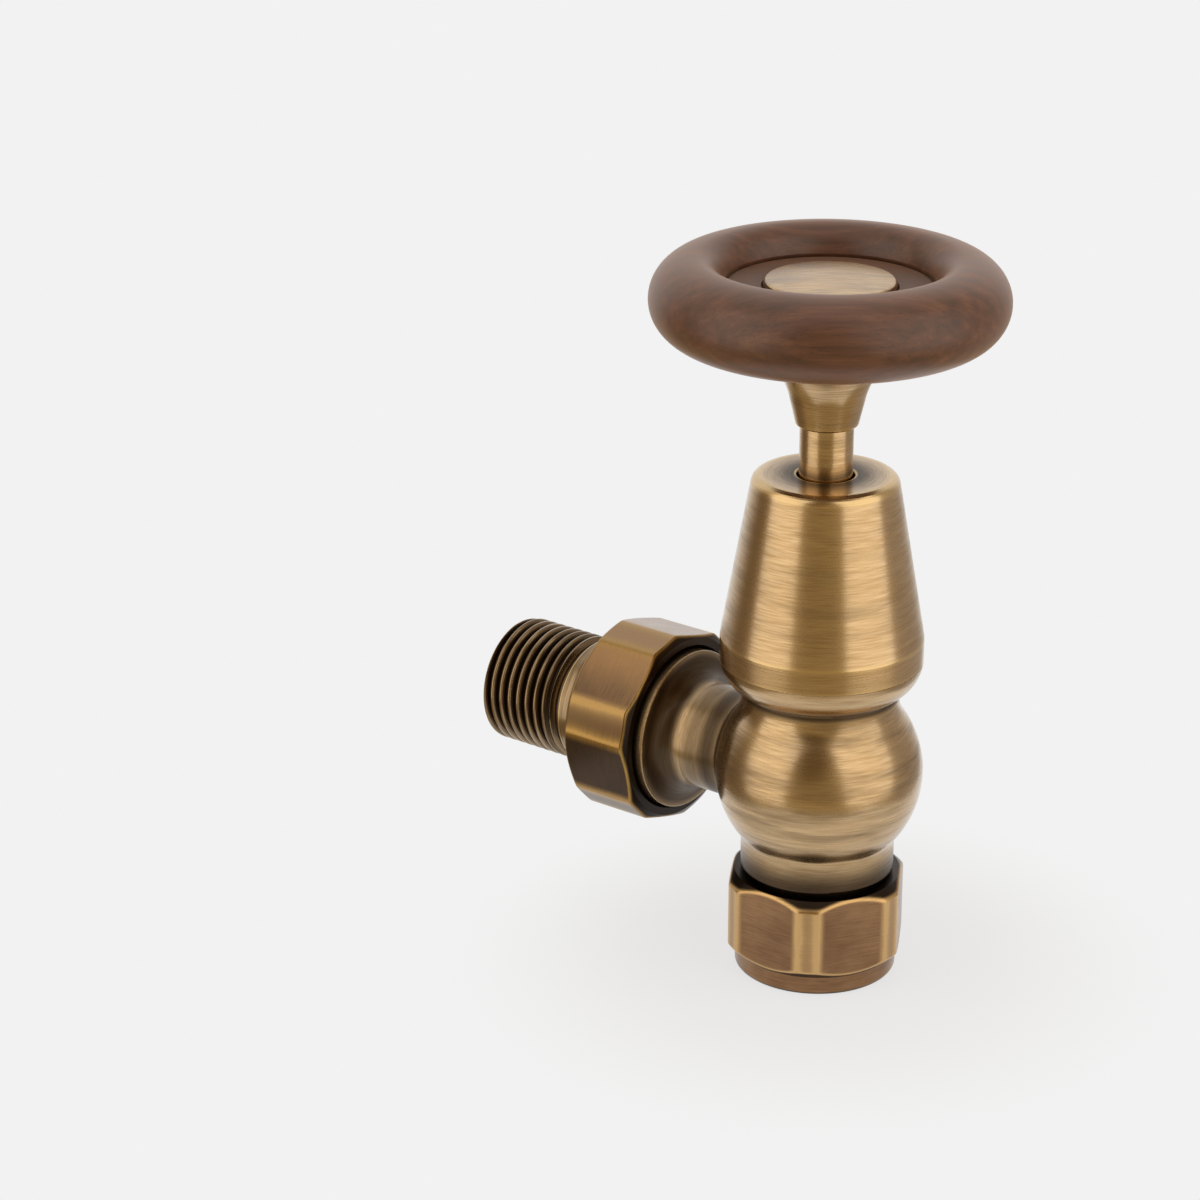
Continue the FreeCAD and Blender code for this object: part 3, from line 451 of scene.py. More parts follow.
# %% Hand wheel
RIM_RADIUS, RIM_Z, RIM_HALF_HEIGHT = 20.65, 111.9, 6.65
RIM_OUTSIDE, RIM_INSIDE = 7.05, 4.75
WHEEL_FLOOR, WHEEL_WEB = 114.1, 106.1
FLOOR_EDGE, FLOOR_SHADE = 15.75, -0.7
QUIRK_OUTSIDE, QUIRK_INSIDE, QUIRK_FLOOR = 16.36, 15.9, 113.75
# Degrees round the rim's oval where it meets the web below and the quirk above
RIM_TO_WEB, RIM_TO_QUIRK = 240.7, 157.5
CAP_POCKET, CAP_LEDGE, SCREW_POCKET, SCREW_LEDGE, WHEEL_HOLE = 10.45, 113.3, 8.05, 109.3, 6.45


def rim_oval(start, end, half_width, steps):
    """Points of the rim's oval: half width times the cosine out, half height times the sine up."""
    angle = np.radians(np.linspace(start, end, steps))
    return np.column_stack([RIM_RADIUS + half_width * np.cos(angle),
                            RIM_Z + RIM_HALF_HEIGHT * np.sin(angle)])


wheel_rows = rounded([
    (WHEEL_HOLE, WHEEL_WEB, 0.2), *rim_oval(RIM_TO_WEB, 270, RIM_INSIDE, 8)[:-1],
    *rim_oval(-90, 90, RIM_OUTSIDE, 48), *rim_oval(90, RIM_TO_QUIRK, RIM_INSIDE, 24)[1:],
    (QUIRK_OUTSIDE, QUIRK_FLOOR, 0.12), (QUIRK_INSIDE, QUIRK_FLOOR, 0.12), (FLOOR_EDGE, WHEEL_FLOOR, 0.2),
    (CAP_POCKET, WHEEL_FLOOR, 0.25), (CAP_POCKET, CAP_LEDGE, 0.1), (SCREW_POCKET, CAP_LEDGE, 0.1),
    (SCREW_POCKET, SCREW_LEDGE, 0.1), (WHEEL_HOLE, SCREW_LEDGE, 0.1)])
# The dished floor is marked as a deep hollow, which paints shade on it
on_floor = (wheel_rows[:, 1] > WHEEL_FLOOR - 0.01) & (wheel_rows[:, 0] < FLOOR_EDGE)
wheel_wear_and_shade = np.minimum(wheel_rows[:, 2:], np.where(on_floor, FLOOR_SHADE, 1.0)[:, None])
skinned("hand_wheel", "wheel", spun(wheel_rows, 200), wheel_wear_and_shade, walnut)

# %% [markdown]
# ## The cap in the middle of the wheel
# A crowned brass disc hides the screw. It was brushed flat, all lines one way, before it was pressed in, so
# its finish is not a lathe finish: the lines run straight across. Its profile ends on the axis at both
# ends.

# %% Cap
CAP_EDGE, CAP_SEAT, CAP_TOP, CAP_CROWN = 10.2, 113.3, 115.4, 0.35
CAP_SMUDGE = 5.0
FLAT_SMOOTH, FLAT_LINED = 0.24, 0.36
SKIRT_OUTSIDE, SKIRT_INSIDE, SKIRT_FOOT, CAP_CEILING = 8.0, 7.0, 110.4, 113.7
CAP_LIGHT, CAP_DEEP, CAP_STAIN = "#D6B383", "#B38D5B", "#85756A"


def straight_brushed_brass(name):
    """Brass with straight lines along the x axis of the turned coordinates."""
    material, tree, shader, place = started(name)
    lengthwise = add(tree, "Mapping", {"Vector": place, "Rotation": (0, 0, -GRAIN_HEADING)}).outputs[0]
    scale = (1 / (LINE_LENGTH * MM), 1 / (LINE_WIDTH * MM), 1 / (LINE_WIDTH * MM))
    drawn = add(tree, "VectorMath", {0: lengthwise, 1: scale}, operation="MULTIPLY").outputs[0]
    lines = add(tree, "TexNoise", {"Vector": drawn, "Scale": 1.0, "Detail": 3.0}).outputs["Fac"]
    deep = add(tree, "MapRange", {0: lines, 1: 0.34, 2: 0.7}).outputs[0]
    colour = add(tree, "Mix", {FACTOR: deep, FIRST: linear(CAP_LIGHT), SECOND: linear(CAP_DEEP)},
                 data_type="RGBA")
    broad = (1 / (SMUDGE_LENGTH * MM), 1 / (CAP_SMUDGE * MM), 1 / (CAP_SMUDGE * MM))
    smeared = add(tree, "VectorMath", {0: lengthwise, 1: broad}, operation="MULTIPLY").outputs[0]
    smudge = add(tree, "TexNoise", {"Vector": smeared, "Scale": 1.0, "Detail": 3.0}).outputs["Fac"]
    stain = add(tree, "MapRange", {0: smudge, 1: 0.46, 2: 0.7, 3: 0.0, 4: 0.6}).outputs[0]
    colour = add(tree, "Mix", {FACTOR: stain, FIRST: colour.outputs[RESULT], SECOND: linear(CAP_STAIN)},
                 data_type="RGBA")
    rough = add(tree, "MapRange", {0: lines, 1: 0.3, 2: 0.7, 3: FLAT_SMOOTH, 4: FLAT_LINED}).outputs[0]
    bump = add(tree, "Bump", {"Height": lines, "Strength": 0.4, "Distance": LINE_DEPTH * MM}).outputs[0]
    tree.links.new(colour.outputs[RESULT], shader.inputs["Base Color"])
    tree.links.new(rough, shader.inputs["Roughness"])
    tree.links.new(bump, shader.inputs["Normal"])
    shader.inputs["Metallic"].default_value = 1.0
    shader.inputs["Coat Weight"].default_value = 0.5
    shader.inputs["Coat Roughness"].default_value = 0.2
    return material


cap_brass = straight_brushed_brass("brass_brushed_straight_cap")
out = np.linspace(0, CAP_EDGE - 0.01, 16)
crown = np.column_stack([out, CAP_TOP - CAP_CROWN * (out / CAP_EDGE) ** 2])
cap_rows = rounded([
    *crown[:-1], (CAP_EDGE, CAP_TOP - CAP_CROWN, 0.5), (CAP_EDGE, CAP_SEAT, 0.15),
    (SKIRT_OUTSIDE, CAP_SEAT, 0.1), (SKIRT_OUTSIDE, SKIRT_FOOT, 0.2), (SKIRT_INSIDE, SKIRT_FOOT, 0.2),
    (SKIRT_INSIDE, CAP_CEILING, 0.1), (0, CAP_CEILING)], closed=False)
skinned("wheel_cap", "wheel", spun(cap_rows, 192), cap_rows[:, 2:], cap_brass, loop=False)

# %% [markdown]
# ## Hexagon nuts with planed corners
# Both nuts are hexagon bar whose six corners were planed to narrow flats, then chamfered on the lathe. Seen
# along its axis such a bar is twelve straight lines, and its radius at an angle is the nearest of twelve
# planes. The chamfers are a turned profile. The nut's surface is whichever is nearer to the axis, and a
# soft minimum of the two rounds the edges where they meet. What the rounding takes away is a measure of
# wear, so the corners come out bright and the flats stay brown.

# %% Nut surfaces
EDGE_ROUNDING, WEAR_WIDTH = 0.12, 0.24


def soft_minimum(values, softness):
    """The least value less softness times the log of how many values share it: one alone loses nothing."""
    least = values.min(-1)
    return least - softness * np.log(np.exp((least[..., None] - values) / softness).sum(-1))


def nut_grid(rows, across_flats, across_corners, turn, planed_wear):
    """A nut's grid and wear: at each angle the soft minimum of profile radius and the bar's twelve planes.

    A plane at distance d whose middle lies at angle m is d / cos(angle - m) away. Columns crowd at the
    edges. The planed corners are worn all over by planed_wear.
    """
    middles = math.radians(turn) + np.radians(30) * np.arange(12)
    distances = np.where(np.arange(12) % 2, across_flats, across_corners) / 2
    ratio = across_corners / across_flats
    edge = math.atan((ratio - math.cos(math.pi / 6)) / math.sin(math.pi / 6))
    edges = math.radians(turn + 30) + np.radians(60) * np.arange(6)[:, None] + np.array([-edge, edge])
    close = np.array([-2, -1.2, -0.6, -0.2, 0.2, 0.6, 1.2, 2]) * math.radians(0.9)
    even = np.linspace(0, 2 * math.pi, 180, endpoint=False)
    angle = np.concatenate([even, (edges.ravel()[:, None] + close).ravel()])
    angle = np.unique(np.round(angle % (2 * math.pi), 4))
    facing = np.cos(angle[:, None] - middles)
    planes = np.where(facing > 0.5, distances / np.maximum(facing, 0.5), 1e3)
    candidates = np.concatenate([np.broadcast_to(planes, (len(rows), len(angle), 12)),
                                 np.broadcast_to(rows[:, None, :1], (len(rows), len(angle), 1))], -1)
    radius = soft_minimum(candidates, EDGE_ROUNDING)
    taken = (candidates.min(2) - soft_minimum(candidates, WEAR_WIDTH)) / (WEAR_WIDTH * math.log(2))
    nearest = candidates.argmin(2)
    planed = (nearest < 12) & (nearest % 2 == 0)
    grid = np.stack([radius * np.cos(angle), radius * np.sin(angle), rows[:, 1:2] + 0 * angle], -1)
    return grid, np.clip(taken + planed_wear * planed, 0, 1)


# %% [markdown]
# ## A browner finish for the nuts
# The nuts were left darker than the body: brown patina on the flats, near-black patina with painted shade on
# the end faces, and bare brass along the edges. End faces are found by the surface's direction along the
# nut's axis, which stays the same when the nut turns. The union nut gets painted light on its upper flats
# and painted shade on its lower ones, read from its own coordinates, so they turn with it.

# %% Antique brass for nuts
# End faces get near-black patina with painted shade; the union nut gets painted shade below, light above
END_PATINA_AND_SHADE, UNDER_PAINTED_SHADE = "#1E1610", "#27180B"
FOOT_BROWN, FOOT_DEEP, FOOT_EDGE = "#97724F", "#725237", "#CFA870"
UNION_BROWN, UNION_DEEP, UNION_EDGE, UNION_PAINTED_LIGHT = "#72512B", "#4C351D", "#A98347", "#9A7346"
NUT_SMUDGE = 6.0


def nut_brass(name, flat, deep, edge, along_tail, radius, lacquer, painted_light=None):
    """Dark antique brass: brown flats with lines round the bar, black ends, bare edges.

    Near-black ends are patina with painted shade. A nut that lies on its side gets painted light and shade
    by height over the tail's axis, in mm: its upper flats pass to a lighter colour, and its lower ones to a
    dull, dark painted shade.
    """
    material, tree, shader, place = started(name)
    height = add(tree, "SeparateXYZ", {0: place}).outputs["Z"]
    axis = (-1, 0, 0) if along_tail else (0, 0, 1)
    if along_tail:
        place = about_tail(tree, place)
    lines = cylinder_lines(tree, place, LINE_WIDTH, LINE_LENGTH, radius, False)
    blotch = add(tree, "TexNoise", {"Vector": place, "Scale": 1 / (NUT_SMUDGE * MM),
                                    "Detail": 5.0}).outputs["Fac"]
    mixed = add(tree, "Math", {0: lines, 1: blotch}, operation="ADD").outputs[0]
    share = add(tree, "MapRange", {0: mixed, 1: 0.75, 2: 1.3}).outputs[0]
    colour = add(tree, "Mix", {FACTOR: share, FIRST: linear(flat), SECOND: linear(deep)}, data_type="RGBA")
    if painted_light:
        # Painted light on the upper flats, painted shade on the lower ones, by height over the tail's axis
        for none, full, most, tint in ((7.5, 14.0, 0.9, painted_light), (8.0, 2.0, 0.7, UNDER_PAINTED_SHADE)):
            zone = add(tree, "MapRange", {0: height, 1: (BALL_Z + none) * MM, 2: (BALL_Z + full) * MM,
                                          3: 0.0, 4: most}, interpolation_type="SMOOTHSTEP").outputs[0]
            colour = add(tree, "Mix", {FACTOR: zone, FIRST: colour.outputs[RESULT], SECOND: linear(tint)},
                         data_type="RGBA")
    # End faces and chamfers, picked by their direction, get patina with painted shade
    normal = add(tree, "NewGeometry").outputs["Normal"]
    facing = add(tree, "VectorMath", {0: normal, 1: axis}, operation="DOT_PRODUCT").outputs["Value"]
    lean = add(tree, "Math", {0: facing}, operation="ABSOLUTE").outputs[0]
    end = add(tree, "MapRange", {0: lean, 1: 0.25, 2: 0.6, 3: 0.0, 4: 0.93}).outputs[0]
    colour = add(tree, "Mix", {FACTOR: end, FIRST: colour.outputs[RESULT], SECOND: linear(END_PATINA_AND_SHADE)},
                 data_type="RGBA")
    wear = add(tree, "Attribute", attribute_name="wear").outputs["Fac"]
    broken = add(tree, "Math", {0: mixed, 1: wear}, operation="MULTIPLY").outputs[0]
    rubbed = add(tree, "MapRange", {0: broken, 1: 0.16, 2: 0.75, 3: 0.0, 4: 0.95}).outputs[0]
    colour = add(tree, "Mix", {FACTOR: rubbed, FIRST: colour.outputs[RESULT], SECOND: linear(edge)},
                 data_type="RGBA")
    rough = add(tree, "MapRange", {0: mixed, 1: 0.7, 2: 1.3, 3: FLAT_SMOOTH, 4: FLAT_LINED}).outputs[0]
    bump = add(tree, "Bump", {"Height": lines, "Strength": 0.4, "Distance": LINE_DEPTH * MM}).outputs[0]
    tree.links.new(colour.outputs[RESULT], shader.inputs["Base Color"])
    tree.links.new(rough, shader.inputs["Roughness"])
    tree.links.new(bump, shader.inputs["Normal"])
    shader.inputs["Metallic"].default_value = 1.0
    # The last zone is the underside's painted shade, which is as dull as the ends
    dull = add(tree, "Math", {0: end, 1: zone}, operation="MAXIMUM").outputs[0] if painted_light else end
    coat = add(tree, "MapRange", {0: dull, 1: 0.0, 2: 0.9, 3: lacquer, 4: PATINA_LACQUER}).outputs[0]
    tree.links.new(coat, shader.inputs["Coat Weight"])
    shader.inputs["Coat Roughness"].default_value = 0.18
    return material


foot_brass = nut_brass("antique_brass_dark_foot_nut", FOOT_BROWN, FOOT_DEEP, FOOT_EDGE, along_tail=False,
                       radius=14.0, lacquer=0.25)
union_brass = nut_brass("antique_brass_dark_union_nut", UNION_BROWN, UNION_DEEP, UNION_EDGE, along_tail=True,
                        radius=16.0, lacquer=0.7, painted_light=UNION_PAINTED_LIGHT)
print("nut finishes:", foot_brass.name, union_brass.name)

# %% [markdown]
# ## The compression nut at the foot
# It screws up on to the body and squeezes a soft ring, the olive, round the pipe. A turned ring stands
# below its hexagon, a floor lets the pipe through, and the inside is the thread's bore.

# %% Compression nut
FOOT_HEIGHT, FOOT_FLATS, FOOT_CORNERS = 16.8, 27.3, 29.65
PIPE_HOLE, FOOT_RING, RING_TOP, FOOT_BORE, FOOT_FLOOR = 7.6, 13.0, 3.2, 11.15, 4.85
OLIVE_SEAT, SEAT_FOOT = 9.25, 3.2
# A radius just past the bar's corners, and the two heights beyond which a chamfer runs in from it
FOOT_BAR, FOOT_BAR_FROM, FOOT_BAR_TO, FOOT_TOP_FACE = 15.22, 5.07, 15.16, 13.4
MOUTH_CHAMFER = 0.4
foot_rows = rounded([
    (PIPE_HOLE, 0, 0.2), (FOOT_RING, 0, 0.8), (FOOT_RING, RING_TOP, 0.25), (FOOT_BAR, FOOT_BAR_FROM),
    (FOOT_BAR, FOOT_BAR_TO), (FOOT_TOP_FACE, FOOT_HEIGHT, 0.15),
    (FOOT_BORE + MOUTH_CHAMFER, FOOT_HEIGHT, 0.1), (FOOT_BORE, FOOT_HEIGHT - MOUTH_CHAMFER),
    (FOOT_BORE, FOOT_FLOOR, 0.1), (OLIVE_SEAT, FOOT_FLOOR, 0.1), (PIPE_HOLE, SEAT_FOOT, 0.1)], spacing=0.3)
foot_grid, foot_wear = nut_grid(foot_rows, FOOT_FLATS, FOOT_CORNERS, turn=0, planed_wear=0.1)
skinned("compression_nut", "pipe_nut", foot_grid, foot_wear, foot_brass)

# %% [markdown]
# ## The union nut
# The large nut draws the radiator tail against the body. It has a long chamfer towards the radiator and a
# short one towards the body.

# %% Union nut
UNION_NEAR, UNION_SHOULDER, UNION_FAR = 27.1, 37.7, 41.5
UNION_FLATS, UNION_CORNERS, UNION_BORE, UNION_LIP = 30.8, 32.2, 13.37, 10.73
UNION_BAR, UNION_BAR_FROM, UNION_BAR_TO, NEAR_FACE, FAR_FACE = 16.5, 27.97, 38.88, 15.0, 13.0
union_rows = rounded([
    (UNION_BORE + MOUTH_CHAMFER, UNION_NEAR, 0.1), (NEAR_FACE, UNION_NEAR, 0.15),
    (UNION_BAR, UNION_BAR_FROM), (UNION_BAR, UNION_BAR_TO), (FAR_FACE, UNION_FAR, 0.25),
    (UNION_LIP, UNION_FAR, 0.25), (UNION_LIP, UNION_SHOULDER, 0.1), (UNION_BORE, UNION_SHOULDER, 0.1),
    (UNION_BORE, UNION_NEAR + MOUTH_CHAMFER)], spacing=0.3)
union_grid, union_wear = nut_grid(union_rows, UNION_FLATS, UNION_CORNERS, turn=45, planed_wear=0.0)
skinned("union_nut", "tail_nut", laid_along_tail(union_grid), union_wear, union_brass)

# %% [markdown]
# ## The radiator tail and its pipe thread
# The tail screws into the radiator with a half-inch pipe thread: 14 turns to the inch, flanks at 55 degrees
# and rounded tops and roots. A displacement texture could fake it. A thread is one helix, though, so its
# radius is simply a function of how far a point is along the tail, less one pitch for each turn of angle.

# %% Radiator tail
PITCH, THREAD_TOP, THREAD_DEPTH = 25.4 / 14, 10.4775, 1.162
TAIL_FLANGE, TAIL_SHANK, TAIL_RELIEF, TAIL_THREAD, TAIL_END = 35.5, 37.5, 45.3, 46.5, 61.7
GROOVE_START = TAIL_RELIEF + PITCH / 2
FLANGE_RADIUS, SHANK_RADIUS, RELIEF_RADIUS, TAIL_BORE, WALL_MIDDLE = 12.6, 10.35, 9.5, 6.2, 8.6
KEY_START, KEY_FLATS, KEY_REACH = 49.7, 12.7, 6.5
# Shares of half a pitch that are crest and flank; the rest is root
CREST_SHARE, FLANK_SHARE = 0.14, 0.72
RUN_OUT, CREST_WEAR, ROOT_PATINA = 0.8, 0.3, 1.3


def tail_grid(columns=132):
    """The tail's grid: turned profile, less the thread's groove, opened to a hexagon in the key socket.

    Phase is distance along over pitch less angle over a full turn. The groove's depth rises evenly from
    crest to root, with both ends smoothed. It fades in over the thread's first pitch and out over the run
    out at its end. Crests are worn a little, and roots keep patina.
    """
    outer = rounded([
        (TAIL_BORE, TAIL_FLANGE, 0.1), (FLANGE_RADIUS, TAIL_FLANGE, 0.2), (FLANGE_RADIUS, TAIL_SHANK, 0.2),
        (SHANK_RADIUS, TAIL_SHANK, 0.1), (SHANK_RADIUS, TAIL_RELIEF, 0.2),
        (RELIEF_RADIUS, TAIL_RELIEF + 0.4, 0.2), (RELIEF_RADIUS, TAIL_THREAD - 0.2, 0.2),
        (THREAD_TOP, TAIL_THREAD + 0.5), (THREAD_TOP, TAIL_END - 0.6), (THREAD_TOP - 0.9, TAIL_END, 0.1),
        (TAIL_BORE + 0.2, TAIL_END, 0.2), (TAIL_BORE, TAIL_END - 0.3), (TAIL_BORE, KEY_START + 0.01),
        (TAIL_BORE, KEY_START - 0.01)], spacing=0.12)
    angle = np.linspace(0, 2 * math.pi, columns, endpoint=False)
    radius, along = outer[:, :1] + 0 * angle, outer[:, 1:2] + 0 * angle
    outside = outer[:, :1] > WALL_MIDDLE
    phase = ((along - GROOVE_START) / PITCH - angle / (2 * math.pi)) % 1.0
    ridge = np.abs(2 * phase - 1)
    slope = np.clip((ridge - CREST_SHARE) / FLANK_SHARE, 0, 1)
    groove = THREAD_DEPTH * slope * slope * (3 - 2 * slope)
    fade = np.clip((along - TAIL_THREAD) / PITCH, 0, 1) * np.clip((TAIL_END - along) / RUN_OUT, 0, 1)
    cut = THREAD_TOP - groove * fade
    threaded = outside & (along > TAIL_THREAD - 0.05)
    sunk = np.where(threaded, np.clip((radius - cut) / THREAD_DEPTH, 0, 1), 0)
    radius = np.where(threaded, np.minimum(radius, cut), radius)
    hexagon = KEY_FLATS / 2 / np.cos((angle + math.pi / 6) % (math.pi / 3) - math.pi / 6)
    socket = ~outside & (along > KEY_START)
    radius = np.where(socket & (radius < KEY_REACH), np.maximum(radius, hexagon), radius)
    crest = np.where(threaded & (sunk < 0.05) & (fade > 0.9), CREST_WEAR, 0)
    grid = np.stack([radius * np.cos(angle), radius * np.sin(angle), along], -1)
    return grid, np.clip(outer[:, 2:] + crest - ROOT_PATINA * sunk, -1, 1)


thread_grid, thread_wear = tail_grid()
skinned("tailpiece", "tail", laid_along_tail(thread_grid), thread_wear, tail_brass)

# %% [markdown]
# ## What stays as CAD made it
# The forged body, the spindle and everything inside keep their CAD shapes, because those are already right.
# They still need finishes: plain machined brass, rubber, red fibre, white PTFE packing and steel, each with
# the fine pattern its making left. A small function serves these five, because only the numbers differ.

# %% Finishes for the inner pieces


def machined(name, light, dark, grain, rough, metallic, bump_depth):
    """A finish of two colours in noise of that grain in mm; the same noise gives roughness and bump."""
    material, tree, shader, place = started(name)
    noise = add(tree, "TexNoise", {"Vector": place, "Scale": 1 / (grain * MM), "Detail": 4.0}).outputs["Fac"]
    share = add(tree, "MapRange", {0: noise, 1: 0.35, 2: 0.65}).outputs[0]
    colour = add(tree, "Mix", {FACTOR: share, FIRST: linear(light), SECOND: linear(dark)}, data_type="RGBA")
    rough = add(tree, "MapRange", {0: noise, 1: 0.3, 2: 0.7, 3: rough, 4: rough + 0.12}).outputs[0]
    bump = add(tree, "Bump", {"Height": noise, "Strength": 0.3, "Distance": bump_depth * MM}).outputs[0]
    tree.links.new(colour.outputs[RESULT], shader.inputs["Base Color"])
    tree.links.new(rough, shader.inputs["Roughness"])
    tree.links.new(bump, shader.inputs["Normal"])
    shader.inputs["Metallic"].default_value = metallic
    return material


plain_brass = machined("brass_machined_plain", "#D9B36A", "#C39A52", 0.8, 0.25, 1.0, 0.01)
seat_rubber = machined("rubber_moulded_black", "#2A2A2A", "#1D1D1D", 0.5, 0.6, 0.0, 0.03)
red_fibre = machined("vulcanised_fibre_red", "#7A2F27", "#5E231D", 0.4, 0.55, 0.0, 0.02)
packing = machined("ptfe_packing_turned", "#DEDCD4", "#CCC9BF", 0.6, 0.4, 0.0, 0.01)
zinc_steel = machined("steel_zinc_plated", "#B9BCC0", "#9B9EA3", 0.7, 0.3, 1.0, 0.01)
FINISHES = [
    (plain_brass, ("olive", "bonnet", "gland_follower", "gland_nut", "disc_holder", "washer_screw")),
    (zinc_steel, ("disc_clip", "screw_washer", "wheel_screw")), (seat_rubber, ("seat_washer",)),
    (red_fibre, ("union_washer", "bonnet_washer")), (packing, ("stem_packing",)),
    (body_brass, ("valve_body",)), (stem_brass, ("spindle",))]
for finish, nodes in FINISHES:
    for node in nodes:
        for cad_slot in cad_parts[node].material_slots:
            cad_slot.material = finish
    print(finish.name, "on", ", ".join(nodes))

# %% [markdown]
# ## A plain studio
# The object stands on a strip of pale paper, between two tall soft lamps, one on each side of the camera.
# Round metal shows them as two upright bright bands with a darker band between, which is the room behind
# the camera. Metal seen at a slant mirrors what lies behind it, so a floor without end would turn the sides
# of every round piece white. The strip is only as wide as the shadow, and leaves those sides to the room.
# It shows the camera and mirrored rays the backdrop's grey, so that it has no edge or horizon, but close to
# the object it keeps the shadow.

# %% Floor
BACKDROP, PAPER_WHITE = "#F2F2F2", "#E6E6E6"
CAMERA_HEADING, CAMERA_DIP = 38.33, 21.25
ahead = math.radians(CAMERA_HEADING)
to_camera = np.array([math.sin(ahead), -math.cos(ahead), 0.0])
to_right = np.array([math.cos(ahead), math.sin(ahead), 0.0])
# The paper's edges and the reach of the shadow, in metres, and the share of glow where the shadow is deepest
LEFT, RIGHT, NEAR, BACK, FLOOR_DROP = -0.068, 0.075, 0.07, -1.5, 0.00005
SHADOW_FROM, SHADOW_TO, SHADOW_GLOW = 0.02, 0.065, 0.8
SHEET = np.array([(LEFT, NEAR), (RIGHT, NEAR), (RIGHT, BACK), (LEFT, BACK)])
floor_mesh = bpy.data.meshes.new("studio_floor")
corners = SHEET[:, :1] * to_right + SHEET[:, 1:] * to_camera - np.array([0, 0, FLOOR_DROP])
floor_mesh.from_pydata(corners.tolist(), [], [[0, 1, 2, 3]])
floor = bpy.data.objects.new("studio_floor", floor_mesh)
bpy.context.scene.collection.objects.link(floor)
paper, tree, shader, place = started("paper_matt_floor")
away = add(tree, "VectorMath", {0: place}, operation="LENGTH").outputs["Value"]
far = add(tree, "MapRange", {0: away, 1: SHADOW_FROM, 2: SHADOW_TO, 3: SHADOW_GLOW, 4: 1.0},
          interpolation_type="SMOOTHSTEP").outputs[0]
from_camera, mirrored = kinds_of_ray(tree)
seen = add(tree, "Math", {0: from_camera, 1: mirrored}, operation="MAXIMUM").outputs[0]
shown = add(tree, "Math", {0: far, 1: seen}, operation="MULTIPLY").outputs[0]
shader.inputs["Base Color"].default_value = linear(PAPER_WHITE)
shader.inputs["Roughness"].default_value = 0.9
shader.inputs["Specular IOR Level"].default_value = 0.0
glow = add(tree, "Emission", {"Color": linear(BACKDROP), "Strength": 1.0}).outputs[0]
both = add(tree, "MixShader", {0: shown, 1: shader.outputs[0], 2: glow}).outputs[0]
tree.links.new(both, tree.nodes["Material Output"].inputs["Surface"])
floor_mesh.materials.append(paper)
print("floor sheet from", SHEET.min(0), "to", SHEET.max(0), "m, right and towards the camera")

# %% [markdown]
# ## Camera
# The photograph was taken from the right and a little above. A long lens from about 0.6 m gives the same,
# nearly parallel edges.

# %% Camera
SENSOR_WIDTH, LENS_LENGTH = 36.0, 110.17
CAMERA_PLACE = (0.3056, -0.4429, 0.2716)
camera = bpy.data.objects.new("camera", bpy.data.cameras.new("camera"))
camera.data.sensor_width = SENSOR_WIDTH
camera.data.lens = LENS_LENGTH
camera.location = CAMERA_PLACE
camera.rotation_euler = (math.radians(90 - CAMERA_DIP), 0, math.radians(CAMERA_HEADING))
bpy.context.scene.collection.objects.link(camera)
bpy.context.scene.camera = camera
print("camera", round(camera.location.length, 3), "m from the foot of the valve")

# %% [markdown]
# ## Lamps and world
# Each lamp is a tall rectangle, as a soft box is. The world is a room in zones, each a direction with a
# colour that fades out round it: warm towards the camera, dark above it, dim on the left, greyer on the
# right and pale overhead. The grey backdrop stands behind the object, turned a little to the left. The
# camera sees it everywhere, and mirrored rays see it where it stands.

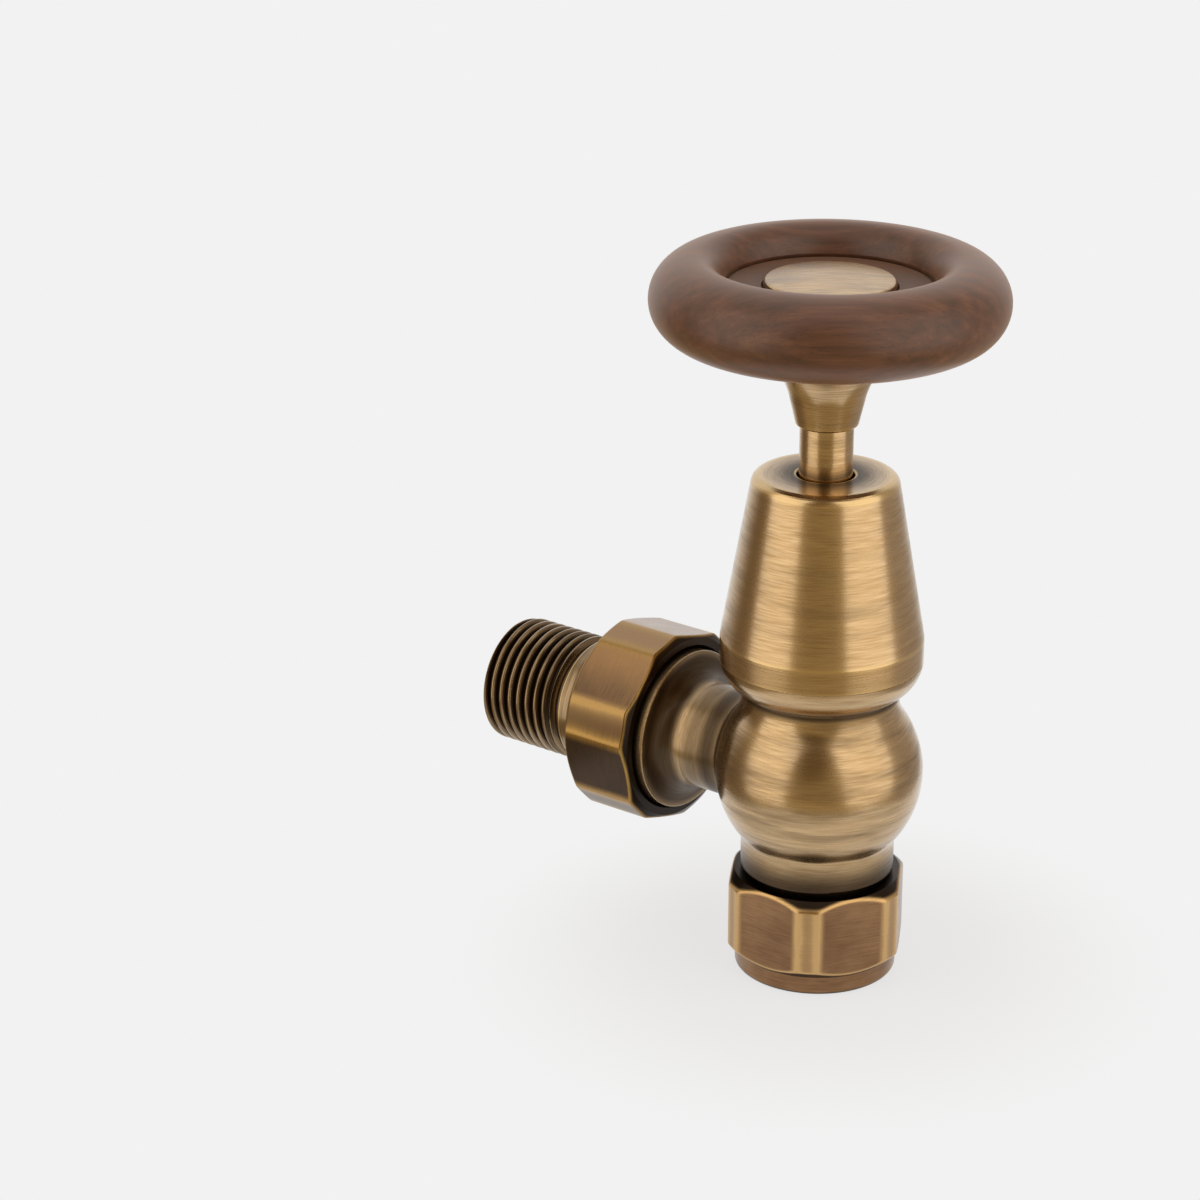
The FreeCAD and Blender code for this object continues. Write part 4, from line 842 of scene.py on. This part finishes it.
# %% Lamps
LAMP_DISTANCE, LAMP_HEIGHT, LAMP_RISE, LAMP_RADIANCE = 0.9, 1.55, 19, 1.0
aim = Vector((0, 0, 0.06))
for name, side, width in (("softbox_left", -64, 0.96), ("softbox_right", 54, 1.15)):
    lamp = bpy.data.lights.new(name, "AREA")
    lamp.shape = "RECTANGLE"
    lamp.size, lamp.size_y = width, LAMP_HEIGHT
    lamp.energy = LAMP_RADIANCE * math.pi * width * LAMP_HEIGHT
    box = bpy.data.objects.new(name, lamp)
    heading, rise = math.radians(CAMERA_HEADING + side), math.radians(LAMP_RISE)
    level = math.cos(rise)
    way = Vector((math.sin(heading) * level, -math.cos(heading) * level, math.sin(rise)))
    box.location = aim + way * LAMP_DISTANCE
    box.rotation_euler = (-way).to_track_quat("-Z", "Y").to_euler()
    box.visible_camera = False
    bpy.context.scene.collection.objects.link(box)
    print(name, "shines with", round(lamp.energy, 2), "W")

# %% World
ROOM_FRONT, ROOM_DARK, ROOM_LEFT = "#AB9A76", "#6A5638", "#7E6C54"
ROOM_RIGHT, ROOM_PALE = "#B2A9A0", "#EDEDED"
world = bpy.data.worlds.new("pale_studio")
bpy.context.scene.world = world
world.use_nodes = True
tree = world.node_tree
direction = add(tree, "TexCoord").outputs["Generated"]


def in_zone(side, lift, low, high):
    """How far a direction lies in a zone of the room.

    It is the direction's dot product with the zone's middle, smoothed from low, where the zone ends, to
    high. The middle is given in degrees round to the right from the camera, and in degrees above the floor.
    """
    side, lift = math.radians(side), math.radians(lift)
    level = to_camera * math.cos(side) + to_right * math.sin(side)
    middle = level * math.cos(lift) + np.array([0, 0, math.sin(lift)])
    facing = add(tree, "VectorMath", {0: direction, 1: middle.tolist()},
                 operation="DOT_PRODUCT").outputs["Value"]
    return add(tree, "MapRange", {0: facing, 1: low, 2: high}, interpolation_type="SMOOTHSTEP").outputs[0]


behind = in_zone(-172, 22, 0.4, 0.85)
room = linear(ROOM_FRONT)
for zone, colour in ((in_zone(-18, 35, 0.8, 0.96), ROOM_DARK), (in_zone(-112, -12, 0.78, 0.93), ROOM_LEFT),
                     (in_zone(118, 0, 0.5, 0.9), ROOM_RIGHT), (in_zone(0, 90, 0.8, 0.97), ROOM_PALE)):
    room = add(tree, "Mix", {FACTOR: zone, FIRST: room, SECOND: linear(colour)},
               data_type="RGBA").outputs[RESULT]
from_camera, mirrored = kinds_of_ray(tree)
on_backdrop = add(tree, "Math", {0: mirrored, 1: behind}, operation="MULTIPLY").outputs[0]
seen = add(tree, "Math", {0: from_camera, 1: on_backdrop}, operation="MAXIMUM").outputs[0]
room = add(tree, "Mix", {FACTOR: seen, FIRST: room, SECOND: linear(BACKDROP)},
           data_type="RGBA").outputs[RESULT]
tree.links.new(room, tree.nodes["Background"].inputs["Color"])
bpy.context.scene.view_settings.view_transform = "Standard"
print("the room is dim towards the camera and pale behind the valve")
